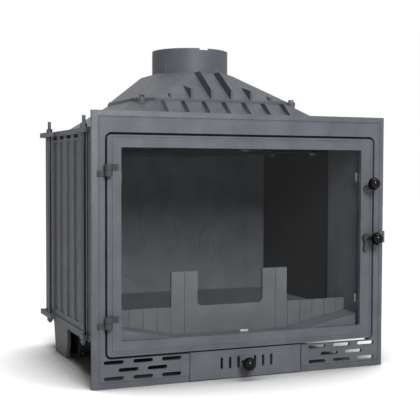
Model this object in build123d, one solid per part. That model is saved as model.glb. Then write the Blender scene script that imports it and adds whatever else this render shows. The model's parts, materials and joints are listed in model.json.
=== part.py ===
"""Cast-iron fireplace insert with a glass door, an ash drawer and a ribbed smoke hood.

Millimetres. +X right, +Z up, the front faces -Y. While a piece is made, depth is measured
from the front plane of the facade towards the back. The finished pieces are then moved by
front_y, so that the origin lies under the middle of the whole object, on the floor.
"""
from build123d import *
from math import cos, hypot, radians, sin
import os

# ---------------------------------------------------------------- driving dimensions
# facade: the cast face that shows on the chimney breast
face_width = 700.0
face_height = 578.0
face_plate = 8.0          # wall of the casting
face_bevel = 11.0         # sloping border round the outside
face_bevel_drop = 4.0
face_groove = 3.0         # shadow line inside the border
face_groove_depth = 1.5
face_groove_inset = 1.0   # border's inner line to the shadow line
face_rim_width = 11.0     # rim that lies against the wall
face_rim_depth = 12.0

# door
door_width = 636.0
door_height = 461.0
door_bottom = 67.0
door_gap = 5.0            # dark line between door and facade
door_slab = 10.0
door_corner = 9.0
least_corner = 2.5        # smallest corner radius of an outline drawn in from the door's edge
door_bead = 4.0           # raised bead along the door's edge
door_bead_groove = 7.0
door_bead_depth = 1.5
door_stile = 30.0         # door edge to the visible glass, left and right
door_rail_low = 31.0
door_rail_high = 26.0
view_corner = 3.0
glass_corner = 2.0

# closing of the door
rope_radius = 3.85        # heat-proof rope in a channel on the door's back
rope_channel_wall = 3.0
rope_channel_height = 5.0
rope_bend = 2.0           # inner radius of the rope at a corner
rib_set_back = 0.2        # channel's outer wall behind the door's edge
seat_gap = 0.3            # between pieces that close on each other
glass_thickness = 4.0
glass_lap = 6.5           # glass hidden behind the stile
tape_thickness = 0.5
clip_thickness = 1.2
clip_length = 20.0
clip_reach = 6.0          # tongue that shows inside the door opening
clip_pad_width = 4.8
clip_pad_gap = 0.4        # pad to glass edge
clip_from_corner = 62.0
tape_set_back = 0.5
screw_head_height = 1.8
screw_head_radius = 2.2

# hinges on the left stile
hinge_knuckle_radius = 8.5
hinge_pin_radius = 4.0
hinge_pin_clearance = 0.06
hinge_stand_off = 9.0     # pin centre in front of the facade
hinge_washer = 1.0
hinge_frame_height = 12.0
hinge_door_height = 12.0
hinge_leaf = 3.5
hinge_frame_reach = 22.0
hinge_arm = 3.0
hinge_screw_offset = 17.3
hinge_screw_radius = 3.2
hinge_screw_height = 1.2
hinge_door_reach = 24.0
hinge_levels = (139.0, 454.0)

# handles
ball_radius = 15.0
stem_radius = 4.5
stem_end = 4.0            # stem's tip from the ball's centre
handle_x = 301.5
pull_level = 413.5
pull_reach = 35.0
pull_rise = 12.0
pull_disc = 4.0
pull_disc_radius = 8.0
latch_level = 300.0
latch_hub_radius = 10.5
latch_hub_height = 11.0
latch_pin_radius = 4.0
latch_pin_clearance = 0.06
latch_pin_depth = 8.0     # blind hole in the door
latch_head_height = 2.5
latch_head_overhang = 1.2
latch_arm_height = 11.0
latch_arm_thickness = 6.0
latch_arm_gap = 3.5       # arm in front of the facade
latch_tip_x = 341.0
latch_tail = 26.0
latch_tail_width = 10.0
latch_tail_angle = -100.0
latch_ball_offset = 10.0
latch_ball_reach = 34.0
keeper_width = 12.0
keeper_wall = 5.0
keeper_height = 27.0
keeper_gap = 0.8
keeper_past_tip = 2.0

# ash drawer
drawer_width = 268.0
drawer_height = 62.0
drawer_foot = 1.5         # drawer front above the floor
drawer_slab = 8.0
drawer_side_gap = 1.5
drawer_slot_width = 6.0
drawer_slot_height = 26.5
drawer_slot_pitch = 20.0
drawer_slots_per_side = 3
drawer_slot_level = 35.0
drawer_chamfer = 1.2
stem_slot_clearance = 0.4
pan_half_width = 118.0
pan_wall = 2.0
pan_length = 320.0
pan_height = 52.0
pan_plenum = 10.0         # air room between drawer front and pan
pan_front_drop = 20.0
pan_flange = 12.0         # turned in behind the drawer front
pan_screw_shares = (0.25, 0.75)    # of the pan's height

# sliding air register behind the drawer's slots
register_plate = 2.0
register_margin = 12.0
register_rest_shift = 3.0     # slots half covered at rest
register_open = 3.0
register_close = 7.0
register_overlap = 5.0    # plate past the slots' ends
register_knob_x = -8.0
register_knob_reach = 30.0
register_stem_radius = 2.6
register_run_gap = 0.3
guide_lip = 3.0
guide_wall = 3.0
guide_end = 4.0           # guide past the plate at the end of its travel

# grille slots in the facade's lower corners
grille_first = 176.0
grille_pitch = 64.0
grille_length = 44.0
grille_slot_height = 8.5
grille_levels = (21.5, 38.5, 55.5)
grille_long_row = 3

# firebox castings
box_half_width = 319.0    # over the ribs
box_ridge = 4.0
box_wall = 7.0
front_plate = 8.0
front_plate_half_width = 326.0
front_plate_lift = 2.0    # lower edge above the door opening's edge
lap_length = 20.0         # front casting behind the side wall
return_web = 8.0          # joins the two walls of the return
return_web_inset = 4.0
front_return_end = 146.0
return_gap = 8.0
box_back = 560.0
throat_half_width = 304.0
throat_bottom = 81.0
throat_top = 514.0
base_bottom = 80.0
base_flange = 12.0
base_floor = 8.0
floor_half_width = 135.0
floor_rear = 470.0
slope_top = 122.0
slope_half_width = 300.0
slope_rear = 528.0
pocket_size = 50.0
pocket_web = 6.0
pocket_start = 48.0       # floor's flat middle to the first pocket
pocket_front = 20.0
pocket_rows = 7
pocket_columns = 2
hood_flange_bottom = 537.0
hood_flange = 12.0
flange_overhang = 3.0
rib_pitch = 68.0
rib_width = 26.0
rib_count = 5
rib_first = 215.0
notch_height = 8.0
notch_length = 40.0
border = 14.0
front_margin = 10.0       # flat strip at the wall's front edge
rear_margin = 6.0         # rear rod to the flat strip behind it
notch_sink = 3.0
back_ribs = 9

# tie rods, ears, feet
rod_radius = 4.0
rod_offset = 8.0          # rod centre outside the ribs
rod_front = 150.0
rod_rear = 481.0
rod_stub = 26.0
rod_tail = 4.0            # rod below the lower nut
nut_radius = 7.5
nut_height = 8.0
ear_overlap = 6.0
ear_length_front = 30.0
ear_rear_front = 452.0
ear_rear_end = 563.0
foot_rear_top = 475.0
foot_rear_bottom = 452.0
foot_front_bottom = 352.0
foot_knee_depth = 334.0
foot_knee_level = 38.0
foot_gusset_front = 220.0
foot_plate = 9.0
foot_web = 7.0
foot_pad_width = 46.0
foot_bolt_inset = 18.0    # bolt to the foot's outer face
foot_bolt_front = 24.0
foot_bolt_rear = 60.0
foot_bolt_hole = 4.3
foot_bolt_radius = 7.0
foot_bolt_height = 6.0

# fire chamber
fireback_half_width = 255.0
fireback_top = 495.0
fireback_thickness = 9.0
fireback_groove = 3.0
fireback_groove_depth = 1.8
fireback_corner = 6.0
fireback_margin = 15.0
fan_count = 5
fan_step = 44.0
fan_first = 70.0
guard_depth = 90.0
guard_thickness = 8.0
guard_half_width = 295.5
guard_wing_top = 150.0
guard_tower_top = 229.0
guard_tower_inner = 81.0
guard_tower_width = 63.0
guard_corner = 12.0
guard_flute_pitch = 32.5
guard_flute_width = 2.5
guard_flute_depth = 2.0
guard_flutes = 6
guard_end_radius = 5.0
grate_half_width = 100.0
grate_front = 150.0
grate_rear = 320.0
grate_thickness = 14.0
grate_lap = 8.0
grate_bar_gap = 9.0
grate_bar_pitch = 20.0
grate_edge = 6.0          # solid margin beside the bars
baffle_level = 500.0
baffle_thickness = 6.0
baffle_front = 215.0
baffle_half_width = 299.0
lug_height = 8.0
lug_reach = 16.0
lug_length = 30.0
lug_inset = 40.0          # lug to the baffle's front or back edge

# smoke hood and flue collar
hood_wall = 7.0
ledge_level = 612.0
ledge_thickness = 7.0
crown_level = 690.0
lower_half = 290.0
lower_front = 60.0
lower_rear = 530.0
ledge_half = 205.0
ledge_front = 142.0
ledge_rear = 460.0
crown_half = 100.0
crown_front = 248.0
crown_rear = 452.0
front_cut = (40.0, 48.0)      # corner cut of the ledge at the front, across and along
rear_cut = (55.0, 85.0)
lower_cut_share = 0.7
crown_front_cut_share = 1.15
crown_rear_cut_share = 0.2
fin_thickness = 6.0
fin_height = 23.0
lower_fin_height = 17.0
fin_root = 4.0            # fins start inside the wall they stand on
fin_pitch = 50.0
lower_fins = 7
long_fin_place = 0.5      # in pitches from the middle
short_fins = ((1.5, 50.0, 23.0), (2.5, 18.0, 9.0))    # place in pitches, run, height
ledge_step = 2.0          # ledge edge to the wall that rises from it
lug_radius = 10.0
lug_stand_out = 6.0       # lug centre outside the cut corner
lug_boss_drop = 12.0      # boss under the lug, on the lower hood
lug_bolt_radius = 6.5
lug_bolt_height = 6.0
flue_bore_radius = 90.0
flue_wall = 4.5
flue_depth = 348.0
flue_top = 750.0
flue_seat = 3.0
flue_seat_step = 2.0      # hood's hole inside the collar's bore
collar_notch_width = 22.0
collar_notch_depth = 4.0
collar_rib = (5.0, 4.0, 20.0)
collar_rib_angle = 210.0

# ash box under the floor
ash_box_gap = 5.0
ash_box_wall = 2.0
ash_box_length = 345.0
ash_box_flange = 18.0

# ---------------------------------------------------------------- dependent sizes
seat_depth = door_slab + 2 * rope_radius + seat_gap
door_top = door_bottom + door_height
door_half = door_width / 2
view_half = door_half - door_stile
view_bottom = door_bottom + door_rail_low
view_top = door_top - door_rail_high
glass_half = view_half + glass_lap
glass_bottom = view_bottom - glass_lap
glass_top = view_top + glass_lap
opening_bottom = door_bottom - door_gap
channel_start = rope_channel_wall
channel_end = channel_start + 2 * rope_radius + seat_gap
plate_back = seat_depth + front_plate
hinge_x = -door_half
hinge_depth = -hinge_stand_off
ear_half_width = box_half_width + rod_offset + ear_overlap
flange_half_width = box_half_width + flange_overhang
wall_inner = box_half_width - box_ridge - box_wall
side_front = front_return_end + return_gap
back_inner = box_back - box_wall - box_ridge
floor_level = base_bottom + base_floor
flange_top = hood_flange_bottom + hood_flange
ledge_top = ledge_level + ledge_thickness
rod_x = box_half_width + rod_offset
rod_bottom = base_bottom - nut_height - rod_tail
foot_bolt_x = box_half_width - foot_bolt_inset
front_reach = max(
    pull_reach + ball_radius,
    latch_ball_reach + ball_radius,
    register_knob_reach + ball_radius,
)
rear_reach = max(box_back, ear_rear_end)
front_y = (front_reach - rear_reach) / 2


# ---------------------------------------------------------------- helpers
def box(x0, x1, d0, d1, z0, z1):
    """Block between two corners: across, depth from the facade, height."""
    centre = Pos((x0 + x1) / 2, (d0 + d1) / 2, (z0 + z1) / 2)
    return centre * Box(abs(x1 - x0), abs(d1 - d0), abs(z1 - z0))


def upright(sketch, depth, thickness):
    """Plate with its outline drawn in the upright X-Z plane."""
    return extrude(Plane.XZ.offset(-depth) * sketch, amount=-thickness)


def flat(sketch, level, thickness):
    """Plate with its outline drawn in plan."""
    return extrude(Plane.XY.offset(level) * sketch, amount=thickness)


def side_profile(points, x0, x1):
    """Prism across X with its outline given as (depth, height) points."""
    outline = make_face(Polyline(*[(0, d, z) for d, z in points], close=True))
    return extrude(Pos(x0, 0, 0) * outline, amount=x1 - x0, dir=(1, 0, 0))


def window(half, bottom, top, corner=0.0):
    """Rectangle centred on X, between two heights."""
    size = (2 * half, top - bottom)
    shape = RectangleRounded(*size, corner) if corner else Rectangle(*size)
    return Pos(0, (bottom + top) / 2) * shape


def door_outline(inset):
    """The door's outline, drawn in by inset; a negative inset makes it larger."""
    corner = max(door_corner - inset, least_corner)
    return window(door_half - inset, door_bottom + inset, door_top - inset, corner)


def round_bar(start, end, radius):
    """Cylinder between two points."""
    a, b = Vector(*start), Vector(*end)
    plane = Plane(origin=a, z_dir=(b - a).normalized())
    return extrude(plane * Circle(radius), amount=(b - a).length)


def hexagon(x, d, z, radius, height):
    """Hexagon head or nut, upright."""
    return Pos(x, d, z) * extrude(RegularPolygon(radius, side_count=6), amount=height)


def mirrored(shape):
    """The same shape on the other side of the middle plane."""
    return mirror(shape, about=Plane.YZ)


def save(shape, name):
    """Moves a finished piece to the object's own origin and writes it."""
    export_step(Pos(0, front_y, 0) * shape, "parts/" + name + ".step")


def group(shapes):
    """Separate identical solids kept in one node."""
    return Compound(children=list(shapes))


# ---------------------------------------------------------------- facade
def facade_frame():
    outline = window(face_width / 2, 0, face_height)
    inner = window(face_width / 2 - face_bevel, face_bevel, face_height - face_bevel)
    back = upright(outline, face_bevel_drop, face_plate - face_bevel_drop)
    front = loft(
        [Plane.XZ.offset(-face_bevel_drop) * outline, Plane.XZ * inner],
        ruled=True,
    )
    body = back + front
    rim_inner = window(face_width / 2 - face_rim_width, face_rim_width, face_height - face_rim_width)
    body += upright(outline - rim_inner, face_plate, face_rim_depth - face_plate)
    opening = door_outline(-door_gap)
    collar = upright(door_outline(-door_gap - face_plate) - opening, face_plate, seat_depth - face_plate)
    collar -= box(-face_width, face_width, 0, seat_depth + 1, 0, opening_bottom)
    body += collar
    groove_at = face_bevel + face_groove_inset
    groove_in = groove_at + face_groove
    groove = window(face_width / 2 - groove_at, groove_at, face_height - groove_at)
    groove -= window(face_width / 2 - groove_in, groove_in, face_height - groove_in)
    body -= upright(groove, 0, face_groove_depth)
    body -= upright(opening, -1, seat_depth + 2)
    notch_half = drawer_width / 2 + drawer_side_gap
    body -= box(-notch_half, notch_half, -1, seat_depth + 1, -1, opening_bottom + 1)
    slots = []
    for row, level in enumerate(grille_levels):
        count = grille_long_row - row % 2
        start = grille_first + (row % 2) * grille_pitch / 2
        for k in range(count):
            for side in (-1, 1):
                slots.append(Pos(side * (start + k * grille_pitch), level) * SlotOverall(
                    grille_length, grille_slot_height))
    body -= upright(Sketch() + slots, -1, face_plate + 2)
    return body


# ---------------------------------------------------------------- firebox castings
def firebox_front():
    outline = window(front_plate_half_width, opening_bottom + front_plate_lift, hood_flange_bottom)
    throat = window(throat_half_width, throat_bottom, throat_top, door_corner)
    body = upright(outline - throat, seat_depth, front_plate)
    for side in (-1, 1):
        body += box(side * (wall_inner + box_ridge), side * box_half_width, plate_back,
                    front_return_end, base_bottom + base_flange, hood_flange_bottom)
        body += box(side * (wall_inner - box_wall), side * (wall_inner - seat_gap), plate_back,
                    side_front + lap_length, slope_top, hood_flange_bottom)
        web_end = front_return_end - return_web_inset
        body += box(side * (wall_inner - box_wall), side * box_half_width, web_end - return_web,
                    web_end, slope_top, hood_flange_bottom)
    return body


def rib_places():
    """Middles of the ribs along a wall that runs from front to back."""
    return [rib_first + k * rib_pitch for k in range(rib_count)]


def side_panel():
    """Right wall: flat inside, ribs and borders outside, notches under the hood flange."""
    low, high = base_bottom + base_flange, hood_flange_bottom
    web = box_half_width - box_ridge
    body = box(wall_inner, web, side_front, box_back, low, high)
    for level in (low, high - border):
        body += box(web, box_half_width, side_front, box_back, level, level + border)
    for place in rib_places():
        slope = box_ridge
        outline = [(web, place - rib_width / 2 - slope), (web, place + rib_width / 2 + slope),
                   (box_half_width, place + rib_width / 2), (box_half_width, place - rib_width / 2)]
        face = make_face(Polyline(*outline, close=True))
        body += flat(face, low + border, high - low - 2 * border)
    body += box(web, box_half_width, rod_rear + rod_radius + rear_margin, box_back, low, high)
    body += box(web, box_half_width, side_front, side_front + front_margin, low, high)
    for k in range(rib_count + 1):
        place = rib_first + (k - 0.5) * rib_pitch
        body -= box(web - notch_sink, box_half_width + 1, place - notch_length / 2,
                    place + notch_length / 2, high - notch_height, high + 1)
    for depth in (baffle_front + lug_inset, back_inner - lug_inset - lug_length):
        body += box(wall_inner - lug_reach, wall_inner, depth, depth + lug_length,
                    baffle_level - lug_height, baffle_level)
    return body


def back_panel():
    low, high = base_bottom + base_flange, hood_flange_bottom
    half = wall_inner - seat_gap
    body = box(-half, half, back_inner, box_back - box_ridge, low, high)
    for k in range(back_ribs):
        place = (k - (back_ribs - 1) / 2) * rib_pitch
        body += box(place - rib_width / 2, place + rib_width / 2, box_back - box_ridge, box_back,
                    low + border, high - border)
    for level in (low, high - border):
        body += box(-half, half, box_back - box_ridge, box_back, level, level + border)
    return body


def ears(level, height):
    """Lugs at the four corners of a flange, with holes for the tie rods."""
    lugs = []
    for side in (-1, 1):
        inner, outer = side * (box_half_width - 1), side * ear_half_width
        lugs.append(box(inner, outer, rod_front - ear_length_front / 2,
                        rod_front + ear_length_front / 2, level, level + height))
        lugs.append(box(inner, outer, ear_rear_front, ear_rear_end, level, level + height))
    return lugs


def rod_holes(level, height):
    holes = []
    for side in (-1, 1):
        for depth in (rod_front, rod_rear):
            holes.append(Pos(side * rod_x, depth, level + height / 2)
                         * Cylinder(rod_radius + seat_gap, height + 2))
    return holes


def hearth_base():
    """Floor casting: flat middle, sloping sides and rear, bolting flange, ribbed underside."""
    body = box(-flange_half_width, flange_half_width, plate_back, box_back + flange_overhang,
               base_bottom, base_bottom + base_flange)
    inner_half = wall_inner - box_wall - seat_gap
    body += box(-inner_half, inner_half, plate_back, back_inner - seat_gap,
                base_bottom, slope_top)
    bowl_low = Plane.XY.offset(floor_level) * Pos(0, (plate_back - 1 + floor_rear) / 2) * Rectangle(
        2 * floor_half_width, floor_rear - plate_back + 1)
    bowl_high = Plane.XY.offset(slope_top) * Pos(0, (plate_back - 1 + slope_rear) / 2) * Rectangle(
        2 * slope_half_width, slope_rear - plate_back + 1)
    body -= loft([bowl_low, bowl_high], ruled=True)
    for lug in ears(base_bottom, base_flange):
        body += lug
    for hole in rod_holes(base_bottom, base_flange):
        body -= hole
    # grate opening with a ledge for the grate
    body -= box(-grate_half_width, grate_half_width, grate_front, grate_rear,
                base_bottom + base_floor / 2, floor_level + 1)
    body -= box(-grate_half_width + grate_lap, grate_half_width - grate_lap,
                grate_front + grate_lap, grate_rear - grate_lap, base_bottom - 1, floor_level + 1)
    # pockets under the slopes
    rise = (slope_top - floor_level) / (slope_half_width - floor_half_width)
    step = pocket_size + pocket_web
    for side in (-1, 1):
        for column in range(pocket_columns):
            x0 = floor_half_width + pocket_start + column * step
            x1 = x0 + pocket_size
            z0 = floor_level + rise * (x0 - floor_half_width) - base_floor
            z1 = floor_level + rise * (x1 - floor_half_width) - base_floor
            points = [(side * x0, base_bottom - 1), (side * x1, base_bottom - 1),
                      (side * x1, z1), (side * x0, z0)]
            outline = make_face(Polyline(*points, close=True))
            for row in range(pocket_rows):
                body -= upright(outline, plate_back + pocket_front + row * step, pocket_size)
    return body


def foot():
    """Right rear foot: tapered outer plate, inner gusset and a pad, all one casting."""
    top = base_bottom
    column = [(foot_rear_top, top), (foot_rear_bottom, 0), (foot_front_bottom, 0),
              (foot_knee_depth, foot_knee_level), (foot_knee_depth, top)]
    gusset = [(foot_rear_top, top), (foot_rear_bottom, 0), (foot_front_bottom, 0),
              (foot_knee_depth, foot_knee_level), (foot_gusset_front, top)]
    body = side_profile(column, box_half_width - foot_plate, box_half_width)
    inner = box_half_width - foot_pad_width
    body += side_profile(gusset, inner + foot_web, inner + 2 * foot_web)
    body += box(inner, box_half_width, foot_gusset_front, foot_rear_top, top - foot_web, top)
    body += box(inner, box_half_width, foot_front_bottom, foot_rear_bottom, 0, foot_web)
    rear = [(foot_rear_top, top), (foot_rear_bottom, 0), (foot_rear_bottom - foot_web, 0),
            (foot_rear_top - foot_web, top)]
    body += side_profile(rear, inner + foot_web, box_half_width)
    for depth in foot_bolt_depths():
        body -= Pos(foot_bolt_x, depth, top - foot_web / 2) * Cylinder(foot_bolt_hole, foot_web + 2)
    return body


def foot_bolt_depths():
    return (foot_gusset_front + foot_bolt_front, foot_rear_top - foot_bolt_rear)


def foot_bolts():
    low = base_bottom - foot_web - foot_bolt_height
    return group(hexagon(side * foot_bolt_x, depth, low, foot_bolt_radius, foot_bolt_height)
                 for side in (-1, 1) for depth in foot_bolt_depths())


# ---------------------------------------------------------------- hood
def hood_outline(half, front, rear, front_share, rear_share):
    """Rectangle with cut corners; front and rear cuts keep their own direction."""
    fx, fd = front_cut[0] * front_share, front_cut[1] * front_share
    rx, rd = rear_cut[0] * rear_share, rear_cut[1] * rear_share
    points = [(half - fx, front), (half, front + fd), (half, rear - rd), (half - rx, rear),
              (-half + rx, rear), (-half, rear - rd), (-half, front + fd), (-half + fx, front)]
    return make_face(Polyline(*points, close=True))


def lower_outline(grow=0.0):
    return hood_outline(lower_half + grow, lower_front - grow, lower_rear + grow,
                        lower_cut_share, lower_cut_share)


def ledge_outline(grow=0.0):
    return hood_outline(ledge_half + grow, ledge_front - grow, ledge_rear + grow, 1.0, 1.0)


def crown_outline(grow=0.0):
    return hood_outline(crown_half + grow, crown_front - grow, crown_rear + grow,
                        crown_front_cut_share, crown_rear_cut_share)


def tier(low_face, low, high_face, high):
    return loft([Plane.XY.offset(low) * low_face, Plane.XY.offset(high) * high_face], ruled=True)


def fin(x, points):
    return side_profile(points, x - fin_thickness / 2, x + fin_thickness / 2)


def lower_hood():
    low, high = hood_flange_bottom, ledge_level
    flange = box(-flange_half_width, flange_half_width, plate_back, box_back + flange_overhang,
                 low, flange_top)
    body = flange + tier(lower_outline(), flange_top, ledge_outline(), high)
    slope = (high - flange_top) / (ledge_front - lower_front)
    reach = lower_front + (high - flange_top - lower_fin_height) / slope
    for k in range(lower_fins):
        x = (k - (lower_fins - 1) / 2) * fin_pitch
        body += fin(x, [(lower_front, flange_top - fin_root),
                        (lower_front, flange_top + lower_fin_height),
                        (reach, high), (ledge_front, high), (ledge_front, high - fin_root)])
    for lug in ears(low, hood_flange):
        body += lug
    for x, depth in lug_places():
        body += Pos(x, depth, high - lug_boss_drop / 2) * Cylinder(lug_radius - 0.5, lug_boss_drop)
    body -= tier(lower_outline(-hood_wall), low - 0.5, ledge_outline(-hood_wall), high + 0.5)
    for hole in rod_holes(low, hood_flange):
        body -= hole
    return body


def lug_places():
    """Corner lugs of the ledge, just outside the middle of each cut corner."""
    places = []
    for across, along, way, edge in (front_cut + (-1, ledge_front), rear_cut + (1, ledge_rear)):
        out = lug_stand_out / hypot(across, along)
        x = ledge_half - across / 2 + along * out
        depth = edge - way * along / 2 + way * across * out
        places += [(x, depth), (-x, depth)]
    return places


def upper_hood():
    low, high = ledge_top, crown_level
    body = flat(ledge_outline(), ledge_level, ledge_thickness)
    body += tier(ledge_outline(-ledge_step), low, crown_outline(), high)
    for x, depth in lug_places():
        body += Pos(x, depth, ledge_level + ledge_thickness / 2) * Cylinder(lug_radius, ledge_thickness)
    slope = (high - low) / (crown_front - ledge_front)
    root = (ledge_front, low - fin_root)
    for side in (-1, 1):
        body += fin(side * fin_pitch * long_fin_place, [
            root, (ledge_front, low + fin_height),
            (crown_front - fin_height / slope, high), (crown_front, high),
            (crown_front, high - fin_root)])
        for place, run, height in short_fins:
            end, top = ledge_front + run, low + slope * run
            body += fin(side * fin_pitch * place, [
                root, (ledge_front, low + height), (end, top), (end, top - fin_root)])
    body -= tier(ledge_outline(-hood_wall), ledge_level - 0.5,
                 crown_outline(-hood_wall), high - hood_wall)
    bore = Pos(0, flue_depth, high) * Cylinder(flue_bore_radius - flue_seat_step, 4 * hood_wall)
    seat = Pos(0, flue_depth, high) * Cylinder(flue_bore_radius + flue_wall + seat_gap, 2 * flue_seat)
    return body - bore - seat


def flue_collar():
    bottom = crown_level - flue_seat
    height = flue_top - bottom
    middle = Pos(0, flue_depth, bottom + height / 2)
    outer = flue_bore_radius + flue_wall
    body = middle * Cylinder(outer, height)
    angle = radians(collar_rib_angle)
    rib_low = crown_level + seat_gap
    body += Pos(outer * cos(angle), flue_depth + outer * sin(angle), rib_low + collar_rib[2] / 2) * Rot(
        0, 0, collar_rib_angle) * Box(*collar_rib)
    body -= middle * Cylinder(flue_bore_radius, height + 2)
    body -= box(-collar_notch_width / 2, collar_notch_width / 2, flue_depth - outer - 1, flue_depth,
                flue_top - collar_notch_depth, flue_top + 1)
    return body


def hood_bolts():
    return group(hexagon(x, depth, ledge_top, lug_bolt_radius, lug_bolt_height)
                 for x, depth in lug_places())


def tie_rods():
    rods = []
    for side in (-1, 1):
        for depth in (rod_front, rod_rear):
            rods.append(round_bar((side * rod_x, depth, rod_bottom),
                                  (side * rod_x, depth, flange_top + rod_stub), rod_radius))
    return group(rods)


def tie_rod_nuts():
    nuts = []
    for side in (-1, 1):
        for depth in (rod_front, rod_rear):
            for level in (base_bottom - nut_height, flange_top):
                nut = hexagon(side * rod_x, depth, level, nut_radius, nut_height)
                nuts.append(nut - Pos(side * rod_x, depth, level) * Cylinder(
                    rod_radius, 4 * nut_height))
    return group(nuts)


# ---------------------------------------------------------------- inside the fire chamber
def fireback():
    """Back plate with a fan of rounded arches, cut as shallow grooves."""
    bottom = slope_top
    back = back_inner
    front = back - fireback_thickness
    body = upright(window(fireback_half_width, bottom, fireback_top, fireback_corner),
                   front, fireback_thickness)
    arches = Sketch()
    for k in range(fan_count):
        radius = fan_first + k * fan_step
        ring = Circle(radius) - Circle(radius - fireback_groove)
        arches += Pos(0, bottom) * ring
    arches &= window(fireback_half_width - fireback_margin, bottom + fireback_margin,
                     fireback_top - fireback_margin)
    return body - upright(arches, front, fireback_groove_depth)


def guard_outline():
    """Low fence with two towers; its underside follows the floor's slopes."""
    tower_outer = guard_tower_inner + guard_tower_width
    rise = (slope_top - floor_level) / (slope_half_width - floor_half_width)
    end_low = floor_level + seat_gap + rise * (guard_half_width - floor_half_width)
    half = [(0, floor_level + seat_gap), (floor_half_width, floor_level + seat_gap),
            (guard_half_width, end_low), (guard_half_width, guard_wing_top),
            (tower_outer, guard_wing_top), (tower_outer, guard_tower_top),
            (guard_tower_inner, guard_tower_top), (guard_tower_inner, guard_wing_top),
            (0, guard_wing_top)]
    other = [(-x, z) for x, z in reversed(half[1:-1])]
    return make_face(Polyline(*half, *other, close=True))


def log_guard():
    body = upright(guard_outline(), guard_depth, guard_thickness)
    inner_corners = [edge for edge in body.edges().filter_by(Axis.Y)
                     if abs(edge.center().Z - guard_wing_top) < seat_gap
                     and abs(edge.center().X) < guard_tower_inner + 1]
    body = fillet(inner_corners, guard_corner)
    for k in range(guard_flutes):
        x = guard_tower_inner + (k + 1) * guard_flute_pitch
        for side in (-1, 1):
            body -= box(side * x - guard_flute_width / 2, side * x + guard_flute_width / 2,
                        guard_depth - 1, guard_depth + guard_flute_depth, 0, face_height)
    end_low = slope_top + 2 * seat_gap
    for side in (-1, 1):
        body += Pos(side * guard_half_width, guard_depth + guard_thickness / 2,
                    (end_low + guard_wing_top) / 2) * Cylinder(
                        guard_end_radius, guard_wing_top - end_low)
    return body


def fire_grate():
    lap = seat_gap
    top = floor_level
    low = base_bottom + base_floor / 2
    body = box(-grate_half_width + lap, grate_half_width - lap, grate_front + lap, grate_rear - lap,
               low, top)
    inner = grate_lap + 3 * seat_gap
    body += box(-grate_half_width + inner, grate_half_width - inner, grate_front + inner,
                grate_rear - inner, top - grate_thickness, low)
    span = grate_half_width - inner - grate_edge
    count = int(2 * span / grate_bar_pitch)
    for k in range(count):
        x = (k - (count - 1) / 2) * grate_bar_pitch
        body -= box(x - grate_bar_gap / 2, x + grate_bar_gap / 2, grate_front + 2 * inner,
                    grate_rear - 2 * inner, top - grate_thickness - 1, top + 1)
    return body


def smoke_baffle():
    return box(-baffle_half_width, baffle_half_width, baffle_front, back_inner - seat_gap,
               baffle_level, baffle_level + baffle_thickness)


# ---------------------------------------------------------------- ash box and drawer
def ash_box():
    """Sheet channel under the floor, open at the front and at the top."""
    inner = pan_half_width + ash_box_gap
    outer = inner + ash_box_wall
    front = drawer_slab + seat_gap
    floor_top = drawer_foot + ash_box_wall
    body = box(-outer, outer, front, ash_box_length, drawer_foot, base_bottom)
    body -= box(-inner, inner, front - 1, ash_box_length - ash_box_wall, floor_top, base_bottom + 1)
    for side in (-1, 1):
        body += box(side * (outer - 0.5), side * (outer + ash_box_flange), plate_back,
                    ash_box_length, base_bottom - ash_box_wall, base_bottom)
    body -= box(-outer - 1, outer + 1, 0, plate_back, opening_bottom, base_bottom + 1)
    return body


def slot_row(shift, width):
    slots = Sketch()
    for k in range(drawer_slots_per_side):
        for side in (-1, 1):
            slots += Pos(side * (k + 1) * drawer_slot_pitch + shift, drawer_slot_level) * Rot(
                0, 0, 90) * SlotOverall(drawer_slot_height, width)
    return slots


def ash_drawer_front():
    outline = window(drawer_width / 2, drawer_foot, drawer_foot + drawer_height)
    body = upright(outline, 0, drawer_slab)
    body = chamfer(body.faces().sort_by(Axis.Y)[0].edges(), drawer_chamfer)
    body -= upright(slot_row(0, drawer_slot_width), -1, drawer_slab + 2)
    low = register_knob_x - register_open - register_stem_radius - stem_slot_clearance
    high = register_knob_x + register_close + register_stem_radius + stem_slot_clearance
    stem_slot = Pos((low + high) / 2, drawer_slot_level) * SlotOverall(
        high - low, 2 * (register_stem_radius + stem_slot_clearance))
    return body - upright(stem_slot, -1, drawer_slab + 2)


def ash_pan():
    low = drawer_foot + ash_box_wall + seat_gap
    high = low + pan_height
    front, back = drawer_slab, pan_length
    body = box(-pan_half_width, pan_half_width, front, back, low, high)
    inner = pan_half_width - pan_wall
    step = front + pan_plenum
    body -= box(-inner, inner, front - 1, step, low + pan_wall, high + 1)
    body -= box(-inner, inner, step + pan_wall, back - pan_wall, low + pan_wall, high + 1)
    body -= box(-inner, inner, step - 1, step + pan_wall + 1, high - pan_front_drop, high + 1)
    for side in (-1, 1):
        body += box(side * (inner - pan_flange), side * pan_half_width, front, front + pan_wall, low, high)
    return body


def pan_screws():
    """Round heads on the pan's turned-in flanges, inside the air room."""
    low = drawer_foot + ash_box_wall + seat_gap
    start = drawer_slab + pan_wall
    x = pan_half_width - pan_wall - pan_flange / 2
    return group(round_bar((side * x, start, low + share * pan_height),
                           (side * x, start + screw_head_height, low + share * pan_height),
                           screw_head_radius) for side in (-1, 1) for share in pan_screw_shares)


def register_levels():
    half = drawer_slot_height / 2 + register_overlap
    return drawer_slot_level - half, drawer_slot_level + half


def register_half_width():
    return drawer_slots_per_side * drawer_slot_pitch + register_margin


def air_register():
    low, high = register_levels()
    depth = drawer_slab + register_run_gap
    outline = Pos(register_rest_shift, (low + high) / 2) * Rectangle(
        2 * register_half_width(), high - low)
    outline -= slot_row(register_rest_shift, drawer_slot_width)
    return upright(outline, depth, register_plate)


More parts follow.
